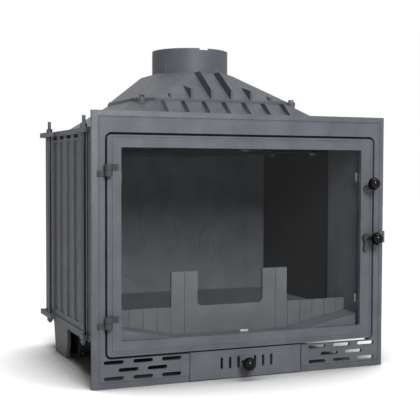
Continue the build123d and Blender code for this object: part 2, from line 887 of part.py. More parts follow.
def register_guides():
    low, high = register_levels()
    half = register_half_width() + register_close + register_rest_shift + guide_end
    back = drawer_slab + register_plate + 2 * register_run_gap
    rails = []
    for edge, way in ((low, -1), (high, 1)):
        start = edge + way * register_run_gap
        rail = box(-half, half, drawer_slab, back, start, start + way * guide_wall)
        rail += box(-half, half, back, back + guide_wall / 2, edge - way * guide_lip,
                    start + way * guide_wall)
        rails.append(rail)
    return group(rails)


def register_stem():
    rear = drawer_slab + register_run_gap
    return round_bar((register_knob_x, rear, drawer_slot_level),
                     (register_knob_x, -register_knob_reach + stem_end, drawer_slot_level),
                     register_stem_radius)


def drilled_ball(centre, start, radius):
    """Ball knob with the hole that its stem screws into."""
    towards = Vector(*centre) - Vector(*start)
    tip = Vector(*centre) - towards.normalized() * (stem_end - 1)
    return Pos(*centre) * Sphere(ball_radius) - round_bar(start, (tip.X, tip.Y, tip.Z), radius)


# ---------------------------------------------------------------- door
def door_frame():
    view = window(view_half, view_bottom, view_top, view_corner)
    body = upright(door_outline(0), 0, door_slab)
    bead = door_outline(door_bead) - door_outline(door_bead + door_bead_groove)
    body -= upright(bead, -1, door_bead_depth + 1)
    outer_wall = door_outline(rib_set_back) - door_outline(channel_start)
    inner_wall = door_outline(channel_end) - door_outline(channel_end + rope_channel_wall)
    body += upright(outer_wall + inner_wall, door_slab, rope_channel_height)
    for place in clip_places():
        body += clip_pad(*place)
    body -= upright(view, -1, door_slab + 2)
    return body - round_bar((handle_x, -1, latch_level), (handle_x, latch_pin_depth, latch_level),
                            latch_pin_radius)


def clip_places():
    """Clips round the glass: (x, z, across, up), the last two pointing at the glass."""
    upper, lower = view_top - clip_from_corner, view_bottom + clip_from_corner
    places = []
    for side in (-1, 1):
        for level in (upper, lower):
            places.append((side * glass_half, level, -side, 0))
    places.append((0, glass_bottom, 0, 1))
    places.append((0, glass_top, 0, -1))
    return places


def clip_box(place, start, end, width, front, thickness):
    """Block that runs along a clip's own direction, from the glass edge."""
    x, z, across, up = place
    half = width / 2
    xs = sorted((x + across * start, x + across * end)) if across else (x - half, x + half)
    zs = sorted((z + up * start, z + up * end)) if up else (z - half, z + half)
    return box(xs[0], xs[1], front, front + thickness, zs[0], zs[1])


def clip_pad(x, z, across, up):
    return clip_box((x, z, across, up), -clip_pad_width - clip_pad_gap, -clip_pad_gap,
                    clip_length, door_slab, tape_thickness + glass_thickness)


def glass_back():
    return door_slab + tape_thickness + glass_thickness


def glass_clips():
    return group(clip_box(place, -clip_pad_width - clip_pad_gap, glass_lap + clip_reach,
                          clip_length, glass_back(), clip_thickness) for place in clip_places())


def clip_screws():
    screws = []
    inset = clip_pad_width / 2 + clip_pad_gap
    start = glass_back() + clip_thickness
    for x, z, across, up in clip_places():
        cx, cz = x - across * inset, z - up * inset
        screws.append(round_bar((cx, start, cz), (cx, start + screw_head_height, cz), screw_head_radius))
    return group(screws)


def door_glass():
    return upright(window(glass_half, glass_bottom, glass_top, glass_corner),
                   door_slab + tape_thickness, glass_thickness)


def glass_gasket():
    ring = window(glass_half, glass_bottom, glass_top, glass_corner)
    ring -= window(view_half + tape_set_back, view_bottom - tape_set_back, view_top + tape_set_back)
    return upright(ring, door_slab, tape_thickness)


def door_gasket():
    """Rope laid in the channel: a round section swept round the door."""
    inset = channel_start + rope_radius + seat_gap / 2
    depth = door_slab + rope_radius
    half = door_half - inset
    low, high = door_bottom + inset, door_top - inset
    radius = rope_radius + rope_bend
    path = Plane.XZ.offset(-depth) * Pos(0, (low + high) / 2) * RectangleRounded(
        2 * half, high - low, radius)
    wire = path.face().outer_wire()
    start = Plane(origin=wire @ 0, z_dir=wire % 0)
    return sweep(start * Circle(rope_radius), path=wire)


def knuckle(level, height, bore):
    body = Pos(hinge_x, hinge_depth, level + height / 2) * Cylinder(hinge_knuckle_radius, height)
    return body, Pos(hinge_x, hinge_depth, level + height / 2) * Cylinder(bore, height + 2)


def hinge_frame_bracket(level):
    """Lower knuckle with its leaf on the facade."""
    low = level - hinge_frame_height
    body, bore = knuckle(low, hinge_frame_height, hinge_pin_radius)
    inner = hinge_x - door_gap - seat_gap
    body += box(hinge_x - hinge_frame_reach, inner, -hinge_leaf, 0, low, level)
    body += box(inner - hinge_arm, hinge_x, -hinge_stand_off, -hinge_leaf, low, level)
    return body - bore


def hinge_door_leaf(level):
    """Upper knuckle with its strap on the door."""
    low = level + hinge_washer + seat_gap
    body, bore = knuckle(low, hinge_door_height, hinge_pin_radius + hinge_pin_clearance)
    high = low + hinge_door_height
    inner = hinge_x + 3 * seat_gap
    body += box(inner, hinge_x + hinge_door_reach, -hinge_leaf, 0, low, high)
    body += box(hinge_x, inner + hinge_knuckle_radius, -hinge_stand_off, -hinge_leaf, low, high)
    return body - bore


def hinge_pins():
    return group(round_bar((hinge_x, hinge_depth, level - hinge_frame_height),
                           (hinge_x, hinge_depth, level + hinge_washer + hinge_door_height - 1.0),
                           hinge_pin_radius) for level in hinge_levels)


def hinge_washers():
    rings = []
    for level in hinge_levels:
        ring = Pos(hinge_x, hinge_depth, level + hinge_washer / 2) * Cylinder(
            hinge_knuckle_radius - 1.0, hinge_washer)
        rings.append(ring - Pos(hinge_x, hinge_depth, level) * Cylinder(
            hinge_pin_radius, 4 * hinge_washer))
    return group(rings)


def hinge_screw(x, z):
    return round_bar((x, -hinge_leaf, z), (x, -hinge_leaf - hinge_screw_height, z), hinge_screw_radius)


def hinge_screws():
    """Heads on the leaves: door, frame, door, frame."""
    screws = []
    for level in hinge_levels:
        z = level + hinge_washer + seat_gap + hinge_door_height / 2
        screws.append(hinge_screw(hinge_x + hinge_screw_offset, z))
        screws.append(hinge_screw(hinge_x - hinge_screw_offset, level - hinge_frame_height / 2))
    return screws


# ---------------------------------------------------------------- pull and latch
def pull_base():
    return (handle_x, 0, pull_level)


def pull_ball():
    return (handle_x, -pull_reach, pull_level + pull_rise)


def door_pull_stem():
    stop = 1 - stem_end / hypot(pull_reach, pull_rise)
    start = pull_disc / 2
    rise = pull_rise / pull_reach
    disc = round_bar(pull_base(), (handle_x, -pull_disc, pull_level), pull_disc_radius)
    stem = round_bar((handle_x, -start, pull_level + start * rise),
                     (handle_x, -pull_reach * stop, pull_level + pull_rise * stop), stem_radius)
    return disc + stem


def latch_arm_front():
    return latch_arm_gap + latch_arm_thickness


def latch_lever():
    """Hub, hooked arm over the frame, short tail and the stem of the ball."""
    hub_back = seat_gap
    hub_front = hub_back + latch_hub_height
    body = round_bar((handle_x, -hub_back, latch_level), (handle_x, -hub_front, latch_level),
                     latch_hub_radius)
    half = latch_arm_height / 2
    body += box(handle_x, latch_tip_x, -latch_arm_front(), -latch_arm_gap,
                latch_level - half, latch_level + half)
    tail = Pos(handle_x, latch_level) * Rot(0, 0, latch_tail_angle) * Pos(
        latch_tail / 2, 0) * SlotOverall(latch_tail + latch_tail_width, latch_tail_width)
    body += upright(tail, -latch_arm_front(), latch_arm_thickness)
    x = handle_x + latch_ball_offset
    body += round_bar((x, -latch_arm_gap - 1.0, latch_level),
                      (x, -latch_ball_reach + stem_end, latch_level), stem_radius)
    bore = latch_pin_radius + latch_pin_clearance
    return body - round_bar((handle_x, 1, latch_level), (handle_x, -hub_front - 1, latch_level), bore)


def latch_pivot():
    hub_front = seat_gap + latch_hub_height
    shank = round_bar((handle_x, latch_pin_depth, latch_level),
                      (handle_x, -hub_front - seat_gap, latch_level), latch_pin_radius)
    head = round_bar((handle_x, -hub_front - seat_gap, latch_level),
                     (handle_x, -hub_front - seat_gap - latch_head_height, latch_level),
                     latch_pin_radius + latch_head_overhang)
    return shank + head


def latch_keeper():
    """Open-topped pocket on the facade that the latch arm drops into."""
    floor = latch_level - latch_arm_height / 2 - seat_gap
    outer = latch_arm_front() + keeper_gap
    x1 = latch_tip_x + keeper_past_tip
    x0 = x1 - keeper_width
    body = box(x0, x1, -outer - keeper_wall, 0, floor - keeper_wall, floor)
    body += box(x0, x1, -outer - keeper_wall, -outer, floor - keeper_wall,
                floor - keeper_wall + keeper_height)
    return body


# ---------------------------------------------------------------- the pieces
def main():
    os.makedirs("parts", exist_ok=True)
    right_foot = foot()
    right_wall = side_panel()
    x = handle_x + latch_ball_offset
    latch_ball = (x, -latch_ball_reach, latch_level)
    register_ball = (register_knob_x, -register_knob_reach, drawer_slot_level)
    screws = hinge_screws()
    pieces = {
        "facade_frame": facade_frame(),
        "firebox_front": firebox_front(),
        "side_panel_right": right_wall,
        "side_panel_left": mirrored(right_wall),
        "back_panel": back_panel(),
        "hearth_base": hearth_base(),
        "lower_hood": lower_hood(),
        "upper_hood": upper_hood(),
        "flue_collar": flue_collar(),
        "hood_bolts": hood_bolts(),
        "tie_rods": tie_rods(),
        "tie_rod_nuts": tie_rod_nuts(),
        "rear_foot_right": right_foot,
        "rear_foot_left": mirrored(right_foot),
        "foot_bolts": foot_bolts(),
        "fireback": fireback(),
        "log_guard": log_guard(),
        "fire_grate": fire_grate(),
        "smoke_baffle": smoke_baffle(),
        "ash_box": ash_box(),
        "hinge_bracket_lower": hinge_frame_bracket(hinge_levels[0]),
        "hinge_bracket_upper": hinge_frame_bracket(hinge_levels[1]),
        "hinge_pins": hinge_pins(),
        "hinge_washers": hinge_washers(),
        "hinge_frame_screws": group(screws[1::2]),
        "latch_keeper": latch_keeper(),
        "door_frame": door_frame(),
        "door_glass": door_glass(),
        "glass_gasket": glass_gasket(),
        "glass_clips": glass_clips(),
        "clip_screws": clip_screws(),
        "door_gasket": door_gasket(),
        "hinge_leaf_lower": hinge_door_leaf(hinge_levels[0]),
        "hinge_leaf_upper": hinge_door_leaf(hinge_levels[1]),
        "hinge_leaf_screws": group(screws[0::2]),
        "door_pull_stem": door_pull_stem(),
        "door_pull_knob": drilled_ball(pull_ball(), pull_base(), stem_radius),
        "latch_pivot": latch_pivot(),
        "latch_lever": latch_lever(),
        "latch_knob": drilled_ball(latch_ball, (x, 0, latch_level), stem_radius),
        "ash_drawer_front": ash_drawer_front(),
        "ash_pan": ash_pan(),
        "pan_screws": pan_screws(),
        "register_guides": register_guides(),
        "air_register": air_register(),
        "register_stem": register_stem(),
        "register_knob": drilled_ball(register_ball, (register_knob_x, 0, drawer_slot_level),
                                      register_stem_radius),
    }
    for name, shape in pieces.items():
        save(shape, name)
    print("pieces", len(pieces), "front plane of the facade at y =", round(front_y, 3))
    print("hinge axis at x, y =", hinge_x, round(front_y + hinge_depth, 3))


main()
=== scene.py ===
# %% [markdown]
# # A cast-iron fireplace insert
# The real insert is a box of cast plates that slides into a chimney breast. Only its facade,
# door and knobs are seen in a room. The solids come ready from the CAD model, so this lesson
# gives them what a foundry and a paint shop give: softened edges, turned knobs, real fasteners,
# a laid door rope and satin stove paint.

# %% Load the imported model
import json
from math import asin, cos, exp, pi, radians, sin

import bmesh
import bpy
from mathutils import Matrix, Vector
from mathutils.geometry import interpolate_bezier

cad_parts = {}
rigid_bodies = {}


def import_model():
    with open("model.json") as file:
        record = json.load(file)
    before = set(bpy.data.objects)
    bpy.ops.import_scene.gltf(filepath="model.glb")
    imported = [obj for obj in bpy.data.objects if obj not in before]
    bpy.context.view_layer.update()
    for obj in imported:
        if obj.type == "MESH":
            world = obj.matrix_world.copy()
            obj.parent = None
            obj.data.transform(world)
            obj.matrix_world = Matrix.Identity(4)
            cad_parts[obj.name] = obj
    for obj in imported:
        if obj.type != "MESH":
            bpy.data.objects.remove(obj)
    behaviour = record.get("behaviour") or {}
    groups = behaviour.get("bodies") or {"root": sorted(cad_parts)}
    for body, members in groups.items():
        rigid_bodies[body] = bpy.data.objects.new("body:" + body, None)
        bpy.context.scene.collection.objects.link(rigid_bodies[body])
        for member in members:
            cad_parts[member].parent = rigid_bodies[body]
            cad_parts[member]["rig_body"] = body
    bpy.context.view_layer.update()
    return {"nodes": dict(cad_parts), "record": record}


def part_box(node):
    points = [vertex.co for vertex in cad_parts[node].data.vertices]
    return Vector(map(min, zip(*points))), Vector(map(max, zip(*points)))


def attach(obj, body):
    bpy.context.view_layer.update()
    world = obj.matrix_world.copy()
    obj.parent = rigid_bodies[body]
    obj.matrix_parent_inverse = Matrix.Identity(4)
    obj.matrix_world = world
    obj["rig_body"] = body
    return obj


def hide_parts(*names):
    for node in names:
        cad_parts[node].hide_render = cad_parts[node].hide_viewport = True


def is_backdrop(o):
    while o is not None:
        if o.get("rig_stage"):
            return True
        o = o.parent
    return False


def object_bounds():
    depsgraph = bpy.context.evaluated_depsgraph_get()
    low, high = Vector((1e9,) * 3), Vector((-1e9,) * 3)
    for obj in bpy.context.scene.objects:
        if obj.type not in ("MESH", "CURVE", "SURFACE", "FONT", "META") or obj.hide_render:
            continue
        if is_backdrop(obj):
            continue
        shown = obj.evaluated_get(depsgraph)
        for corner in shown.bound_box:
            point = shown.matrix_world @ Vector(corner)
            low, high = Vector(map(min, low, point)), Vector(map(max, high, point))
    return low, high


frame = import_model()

MM = 0.001

# %% [markdown]
# ## Camera
# The photograph was taken from well to the left, at the height of the door's upper half. The
# lens and the place were worked out from the facade's four corners, as the CAD model gives them.
# A camera can be turned with angles, but a matrix of its own right, up and back directions is
# exact, and it lets a small roll be added without guessing the order of the turns.

# %% Place the camera
PHOTO_PIXELS = 420
FOCAL_PIXELS = 930.68          # from the fit, like the eye's place and the three angles
SENSOR_WIDTH = 36.0            # millimetres
EYE_ACROSS, EYE_BEFORE_FACADE, EYE_LEVEL = -0.8617, 1.843, 0.4558      # metres
eye = Vector((EYE_ACROSS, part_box("facade_frame")[0].y - EYE_BEFORE_FACADE, EYE_LEVEL))
yaw, pitch, roll = radians(22.739), radians(2.4635), radians(0.197)

ahead = Vector((sin(yaw) * cos(pitch), cos(yaw) * cos(pitch), -sin(pitch)))
level = Vector((cos(yaw), -sin(yaw), 0.0))
across = cos(roll) * level + sin(roll) * level.cross(ahead)
upward = across.cross(ahead)

camera = bpy.data.objects.new("camera", bpy.data.cameras.new("camera"))
camera.data.lens = FOCAL_PIXELS / PHOTO_PIXELS * SENSOR_WIDTH
camera.data.sensor_width = SENSOR_WIDTH
camera.matrix_world = Matrix.Translation(eye) @ Matrix((across, upward, -ahead)).transposed().to_4x4()
bpy.context.scene.collection.objects.link(camera)
bpy.context.scene.camera = camera
bpy.context.scene.view_settings.view_transform = "Standard"
print("lens in mm:", round(camera.data.lens, 2))

# %% [markdown]
# ## Helpers for node trees
# Every material, the world and every Geometry Nodes tree is a set of nodes and links. One
# function adds a node of any kind, sets its options, and fills its inputs with values or links.
# Colours are written as the hex values that a paint chart shows, and one function turns them
# to the linear values that a shader needs.

# %% Node and colour helpers
def add(tree, kind, inputs=None, **options):
    """Adds one node. An input takes a value, or a socket that is linked to it."""
    node = tree.nodes.new(kind)
    for name, value in options.items():
        setattr(node, name, value)
    for key, value in (inputs or {}).items():
        if isinstance(value, bpy.types.NodeSocket):
            tree.links.new(value, node.inputs[key])
        else:
            node.inputs[key].default_value = value
    return node


def linear(hex_colour):
    """sRGB hex to linear red, green, blue and a full alpha."""
    parts = [int(hex_colour[i:i + 2], 16) / 255 for i in (1, 3, 5)]
    return [p / 12.92 if p <= 0.04045 else ((p + 0.055) / 1.055) ** 2.4 for p in parts] + [1.0]


print("mid grey paint in linear light:", [round(v, 3) for v in linear("#707274")])

# %% [markdown]
# ## Studio
# A catalogue photograph of a dark casting is lit by one large soft lamp in front, a weaker one
# above and the white room around it. The room is the world's colour. What the camera or a
# reflection sees of it is plain white, and the light that it sheds is weaker, so that the left
# wall stays darker than the facade, as in the photograph. Where the object covers the floor,
# Ambient Occlusion dims its white, which leaves a soft shadow and no horizon line.

# %% World, floor and lamps
ROOM_LIGHT = 0.11         # share of full light that the white room sheds
FLOOR_SEEN = 1.00         # part of the floor's white that doesn't depend on light
CONTACT_REACH = 0.90      # metres over which the object dims that part
SHUT_IN, WIDE_OPEN = 0.45, 0.78     # openness at which the floor shows none and all of it


def blank_material(name):
    """New material and its node tree, which is empty."""
    material = bpy.data.materials.new(name)
    material.use_nodes = True
    material.node_tree.nodes.clear()
    return material, material.node_tree


def seen_directly(tree):
    """1 for a ray from the camera, a reflection or a look through glass, otherwise 0."""
    path = add(tree, "ShaderNodeLightPath")
    eye_or_gloss = add(tree, "ShaderNodeMath", {0: path.outputs["Is Camera Ray"],
                                                1: path.outputs["Is Glossy Ray"]}, operation="MAXIMUM")
    return add(tree, "ShaderNodeMath", {0: eye_or_gloss.outputs[0],
                                        1: path.outputs["Is Transmission Ray"]}, operation="MAXIMUM")


world = bpy.data.worlds.new("white room")
world.use_nodes = True
tree = world.node_tree
tree.nodes.clear()
strength = add(tree, "ShaderNodeMapRange", {"Value": seen_directly(tree).outputs[0], "To Min": ROOM_LIGHT})
room = add(tree, "ShaderNodeBackground", {"Color": linear("#ffffff"), "Strength": strength.outputs[0]})
add(tree, "ShaderNodeOutputWorld", {"Surface": room.outputs[0]})
bpy.context.scene.world = world

paper, tree = blank_material("white_paper_sweep")
lit = add(tree, "ShaderNodeBsdfDiffuse", {"Color": linear("#e8e8e8")})
shadow_share = add(tree, "ShaderNodeBsdfDiffuse", {"Color": linear("#959595")})
openness = add(tree, "ShaderNodeAmbientOcclusion", {"Distance": CONTACT_REACH}, samples=16)
glow = add(tree, "ShaderNodeMapRange", {"Value": openness.outputs["AO"], "From Min": SHUT_IN,
                                        "From Max": WIDE_OPEN, "To Max": FLOOR_SEEN})
white_share = add(tree, "ShaderNodeEmission", {"Strength": glow.outputs[0]})
shown = add(tree, "ShaderNodeAddShader", {0: shadow_share.outputs[0], 1: white_share.outputs[0]})
choice = add(tree, "ShaderNodeMixShader", {0: seen_directly(tree).outputs[0], 1: lit.outputs[0],
                                           2: shown.outputs[0]})
add(tree, "ShaderNodeOutputMaterial", {"Surface": choice.outputs[0]})

FLOOR_HALF = 8.0               # metres
square = ((-1, -1), (1, -1), (1, 1), (-1, 1))
floor_mesh = bpy.data.meshes.new("floor")
floor_mesh.from_pydata([(x * FLOOR_HALF, y * FLOOR_HALF, 0) for x, y in square], [], [(0, 1, 2, 3)])
floor_mesh.materials.append(paper)
floor = bpy.data.objects.new("floor", floor_mesh)
bpy.context.scene.collection.objects.link(floor)
floor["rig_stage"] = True


def soft_lamp(name, place, target, size, watts):
    """Square soft lamp that faces a point."""
    lamp = bpy.data.lights.new(name, "AREA")
    lamp.size = size
    lamp.energy = watts
    holder = bpy.data.objects.new(name, lamp)
    holder.location = place
    holder.rotation_euler = (Vector(target) - Vector(place)).to_track_quat("-Z", "Y").to_euler()
    bpy.context.scene.collection.objects.link(holder)
    return holder


KEY_PLACE, KEY_TARGET, KEY_SIZE, KEY_WATTS = (-0.30, -2.5, 1.50), (0.0, -0.1, 0.35), 0.9, 79.0
TOP_PLACE, TOP_TARGET, TOP_SIZE, TOP_WATTS = (0.3, -0.4, 2.8), (0.0, 0.1, 0.4), 1.6, 26.0
key = soft_lamp("key_lamp", KEY_PLACE, KEY_TARGET, KEY_SIZE, KEY_WATTS)
soft_lamp("top_lamp", TOP_PLACE, TOP_TARGET, TOP_SIZE, TOP_WATTS)
print("key lamp to its target, in metres:", round((key.location - Vector(KEY_TARGET)).length, 2))

# %% [markdown]
# ## Stove paint on cast iron
# The castings are poured in sand, shot-blasted and sprayed with a silicone stove paint. The
# sand leaves a fine grain, about a millimetre across, that the thin satin paint doesn't fill,
# and the spray leaves clouds a few centimetres wide that are slightly lighter or darker. Both
# could be painted as images. Noise on Object coordinates needs no image, has a true scale in
# millimetres, and runs on across every casting without a seam.

# %% Painted castings
GLOSS_SPREAD = 0.07       # how far pits and smooth spots move the roughness
PAINT_SPECULAR = 0.20     # the grainy skin mirrors less than a smooth lacquer


def cast_iron_paint(name, light, dark, roughness, grain_mm=1.3, cloud_mm=45.0, grain_depth_mm=0.10):
    """Satin stove paint over a sand-cast skin: dull gloss, fine grain, faint clouds."""
    material, tree = blank_material(name)
    place = add(tree, "ShaderNodeTexCoord").outputs["Object"]
    cloud = add(tree, "ShaderNodeTexNoise", {"Vector": place, "Scale": 1000 / cloud_mm, "Detail": 3.0})
    grain = add(tree, "ShaderNodeTexNoise", {"Vector": place, "Scale": 1000 / grain_mm, "Detail": 2.0,
                                             "Roughness": 0.6})
    pits = add(tree, "ShaderNodeTexNoise", {"Vector": place, "Scale": 1000 / (5 * grain_mm), "Detail": 2.0})
    both = add(tree, "ShaderNodeMath", {0: cloud.outputs["Fac"], 1: grain.outputs["Fac"]}, operation="ADD")
    tone = add(tree, "ShaderNodeMapRange", {"Value": both.outputs[0], "From Min": 0.7, "From Max": 1.3})
    colour = add(tree, "ShaderNodeMix", {0: tone.outputs[0], 6: linear(dark), 7: linear(light)},
                 data_type="RGBA")
    dullness = add(tree, "ShaderNodeMapRange", {"Value": pits.outputs["Fac"], "From Min": 0.3,
                                                "From Max": 0.7, "To Min": roughness - GLOSS_SPREAD,
                                                "To Max": roughness + GLOSS_SPREAD})
    relief = add(tree, "ShaderNodeMath", {0: pits.outputs["Fac"], 1: 2.0, 2: grain.outputs["Fac"]},
                 operation="MULTIPLY_ADD")
    bump = add(tree, "ShaderNodeBump", {"Height": relief.outputs[0], "Distance": grain_depth_mm * MM,
                                        "Strength": 0.9})
    surface = add(tree, "ShaderNodeBsdfPrincipled", {"Base Color": colour.outputs[2],
                                                     "Roughness": dullness.outputs[0],
                                                     "Specular IOR Level": PAINT_SPECULAR,
                                                     "Normal": bump.outputs[0]})
    add(tree, "ShaderNodeOutputMaterial", {"Surface": surface.outputs[0]})
    return material


# The three tones are lit and shaded copies of one stove paint, as painted light and shade: the stove castings
# get the darkest tone, the wall castings the lightest, and the hearth castings one between.
finish = {
    "stove_casting": cast_iron_paint("satin_stove_paint_darkened_as_painted_shade", "#595c61", "#4a4d52", 0.50),
    "body_casting": cast_iron_paint("stove_paint_lightened_as_painted_light_on_wall_castings", "#6c6f74", "#5a5d62", 0.58),
    "hearth_casting": cast_iron_paint("dull_stove_paint_toned_as_painted_light_on_hearth_castings", "#696c70", "#57595d", 0.66),
}
print("painted finishes:", sorted(finish))

# %% [markdown]
# ## Steel, knobs, glass and rope
# The smaller finishes follow what each part is made of. Tie rods and nuts are chemically
# blackened, so they shine dully. Clips and screws are zinc-plated: brighter, with faint blotches
# from the bath. Sheet steel is sprayed, which leaves the ripple that painters call orange peel.
# The hinges and the latch arm are sprayed too. The inner wall faces of the fire chamber and the baffle are
# painted darker, as painted shade. The knobs are pressed thermoset, polished. The window is glass-ceramic,
# clear with a smoky tint, and the seals are glass fibre.

# %% Blackened and plated steel
BLOTCH_SPREAD = 0.1       # how far a blotch moves the roughness
BLOTCH_DEPTH_MM = 0.03


def steel(name, light, dark, roughness, blotch_mm):
    """Metal whose gloss and shade change a little from blotch to blotch."""
    material, tree = blank_material(name)
    place = add(tree, "ShaderNodeTexCoord").outputs["Object"]
    blotch = add(tree, "ShaderNodeTexNoise", {"Vector": place, "Scale": 1000 / blotch_mm, "Detail": 4.0})
    colour = add(tree, "ShaderNodeMix", {0: blotch.outputs["Fac"], 6: linear(dark), 7: linear(light)},
                 data_type="RGBA")
    dullness = add(tree, "ShaderNodeMapRange", {"Value": blotch.outputs["Fac"],
                                                "To Min": roughness - BLOTCH_SPREAD,
                                                "To Max": roughness + BLOTCH_SPREAD})
    bump = add(tree, "ShaderNodeBump", {"Height": blotch.outputs["Fac"], "Distance": BLOTCH_DEPTH_MM * MM})
    surface = add(tree, "ShaderNodeBsdfPrincipled", {"Base Color": colour.outputs[2], "Metallic": 1.0,
                                                     "Roughness": dullness.outputs[0],
                                                     "Normal": bump.outputs[0]})
    add(tree, "ShaderNodeOutputMaterial", {"Surface": surface.outputs[0]})
    return material


finish["dark_steel"] = steel("blackened_steel", "#57585a", "#404143", 0.42, 3.0)
finish["bright_steel"] = steel("zinc_plated_steel", "#d2d4d6", "#b4b6b9", 0.30, 2.0)

# %% Sprayed hinges, painted shade for the chamber walls, and sheet steel
finish["hinge_paint"] = cast_iron_paint("dark_spray_on_hinge_castings", "#3d3f43", "#333538", 0.40)
# Painted shade: a darker paint that stands for the shade inside the fire chamber.
finish["chamber_wall"] = cast_iron_paint("fire_chamber_paint_darkened_as_painted_shade", "#37383a", "#2e2f31", 0.78)
finish["sheet_steel"] = cast_iron_paint("black_spray_on_sheet_steel", "#3c3d3f", "#343537", 0.42,
                                        grain_mm=2.5, cloud_mm=80.0, grain_depth_mm=0.02)

# %% Polished thermoset
FLOW_MM = 8.0             # streaks that the resin leaves as it fills the mould
thermoset, tree = blank_material("polished_black_thermoset")
place = add(tree, "ShaderNodeTexCoord").outputs["Object"]
flow = add(tree, "ShaderNodeTexNoise", {"Vector": place, "Scale": 1000 / FLOW_MM, "Detail": 2.0,
                                        "Distortion": 1.5})
shade = add(tree, "ShaderNodeMix", {0: flow.outputs["Fac"], 6: linear("#060607"), 7: linear("#0d0d0f")},
            data_type="RGBA")
polish = add(tree, "ShaderNodeMapRange", {"Value": flow.outputs["Fac"], "To Min": 0.07, "To Max": 0.16})
surface = add(tree, "ShaderNodeBsdfPrincipled", {"Base Color": shade.outputs[2],
                                                 "Roughness": polish.outputs[0],
                                                 "Specular IOR Level": 0.14})
add(tree, "ShaderNodeOutputMaterial", {"Surface": surface.outputs[0]})
finish["black_knob"] = thermoset

# %% Glass-ceramic
GLASS_COVER = 0.06        # share of what lies behind that the smoky tint takes away
HAZE_MM = 120.0           # patches that a cloth leaves on the pane
ceramic, tree = blank_material("smoky_glass_ceramic")
place = add(tree, "ShaderNodeTexCoord").outputs["Object"]
haze = add(tree, "ShaderNodeTexNoise", {"Vector": place, "Scale": 1000 / HAZE_MM, "Detail": 2.0})
wipe = add(tree, "ShaderNodeMapRange", {"Value": haze.outputs["Fac"], "To Min": 0.02, "To Max": 0.06})
surface = add(tree, "ShaderNodeBsdfPrincipled", {"Base Color": linear("#3a3b3c"), "Alpha": GLASS_COVER,
                                                 "Roughness": wipe.outputs[0]})
add(tree, "ShaderNodeOutputMaterial", {"Surface": surface.outputs[0]})
finish["ceramic_glass"] = ceramic

# %% Glass fibre
# Yarns are too fine to show, so their shade is drawn coarser: this scale of the diagonal wave
# lays its bands about 20 mm apart along a straight run of the seal.
WAVE_MM = 32.0
fibre, tree = blank_material("braided_glass_fibre")
place = add(tree, "ShaderNodeTexCoord").outputs["Object"]
yarn = add(tree, "ShaderNodeTexWave", {"Vector": place, "Scale": 1000 / WAVE_MM, "Distortion": 2.0,
                                       "Detail": 2.0}, bands_direction="DIAGONAL")
shade = add(tree, "ShaderNodeMix", {0: yarn.outputs["Fac"], 6: linear("#3b3b3a"), 7: linear("#6b6b69")},
            data_type="RGBA")
bump = add(tree, "ShaderNodeBump", {"Height": yarn.outputs["Fac"], "Distance": 0.2 * MM})
surface = add(tree, "ShaderNodeBsdfPrincipled", {"Base Color": shade.outputs[2], "Roughness": 0.92,
                                                 "Normal": bump.outputs[0]})
add(tree, "ShaderNodeOutputMaterial", {"Surface": surface.outputs[0]})
finish["rope_seal"] = fibre
print("finishes:", sorted(finish))

# %% [markdown]
# ## From CAD node to finished piece
# A CAD node is a bag of loose triangles. A copy of it can be joined at its doubles, its flat
# faces made whole, and its sharp outer edges rounded, because sand moulds and shot-blasting
# leave no knife edges on a casting. The copy then stands for the node: it rides on the same
# body, and the node stays behind for collision.

# %% Piece helpers
SAME_POINT = 0.02 * MM
FLAT = radians(0.6)
slot_of = {part["node"]: part["material_slot"] for part in frame["record"]["subparts"]}


def body_of(node):
    """Name of the moving or fixed body that carries the node."""
    return frame["nodes"][node]["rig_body"]


def joined(*nodes):
    """One mesh of the nodes' triangles, joined at their doubles."""
    shape = bmesh.new()
    for node in nodes:
        shape.from_mesh(frame["nodes"][node].data)
    bmesh.ops.remove_doubles(shape, verts=shape.verts, dist=SAME_POINT)
    return shape


def settle(obj):
    """Replaces an object's live modifiers with the plain mesh that they give."""
    graph = bpy.context.evaluated_depsgraph_get()
    made = bpy.data.meshes.new_from_object(obj.evaluated_get(graph))
    obj.modifiers.clear()
    obj.data = made
    return obj


def as_object(name, shape, material):
    """Puts a bmesh into the scene under a name and a material."""
    mesh = bpy.data.meshes.new(name)
    shape.to_mesh(mesh)
    shape.free()
    mesh.materials.clear()
    mesh.materials.append(material)
    obj = bpy.data.objects.new(name, mesh)
    bpy.context.scene.collection.objects.link(obj)
    return obj


def place_for(obj, *nodes):
    """The piece stands for these nodes: it rides on their body, and they are hidden."""
    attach(obj, body_of(nodes[0]))
    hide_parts(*nodes)
    return obj


def triangles(obj):
    """Triangles that the object's faces come to."""
    return sum(len(face.vertices) - 2 for face in obj.data.polygons)


# %% [markdown]
# ## Softened edges of the castings
# The rounding could be a shader trick, but real geometry catches the light in any renderer. The
# Bevel operator is given only the convex edges that turn by more than forty degrees, so the
# curved faces and the inner corners stay as they are. Weighted normals then keep the large
# faces flat and let only the rounded strips turn from one face to the next.

# %% Rounded castings
SHARP = radians(40)


def rounded(name, radius_mm, *nodes, segments=2):
    """The nodes as one piece with rounded outer edges, which then stands for them."""
    shape = joined(*nodes)
    bmesh.ops.dissolve_limit(shape, angle_limit=FLAT, verts=shape.verts, edges=shape.edges)
    outer = [edge for edge in shape.edges
             if edge.is_manifold and edge.is_convex and edge.calc_face_angle() > SHARP]
    bmesh.ops.bevel(shape, geom=outer, offset=radius_mm * MM, offset_type="OFFSET", segments=segments,
                    profile=0.5, affect="EDGES", clamp_overlap=True)
    obj = as_object(name, shape, finish[slot_of[nodes[0]]])
    obj.data.shade_smooth()
    obj.data.set_sharp_from_angle(angle=SHARP)
    weighted = obj.modifiers.new("flat faces stay flat", "WEIGHTED_NORMAL")
    weighted.keep_sharp = True
    weighted.weight = 100
    settle(obj)
    return place_for(obj, *nodes)


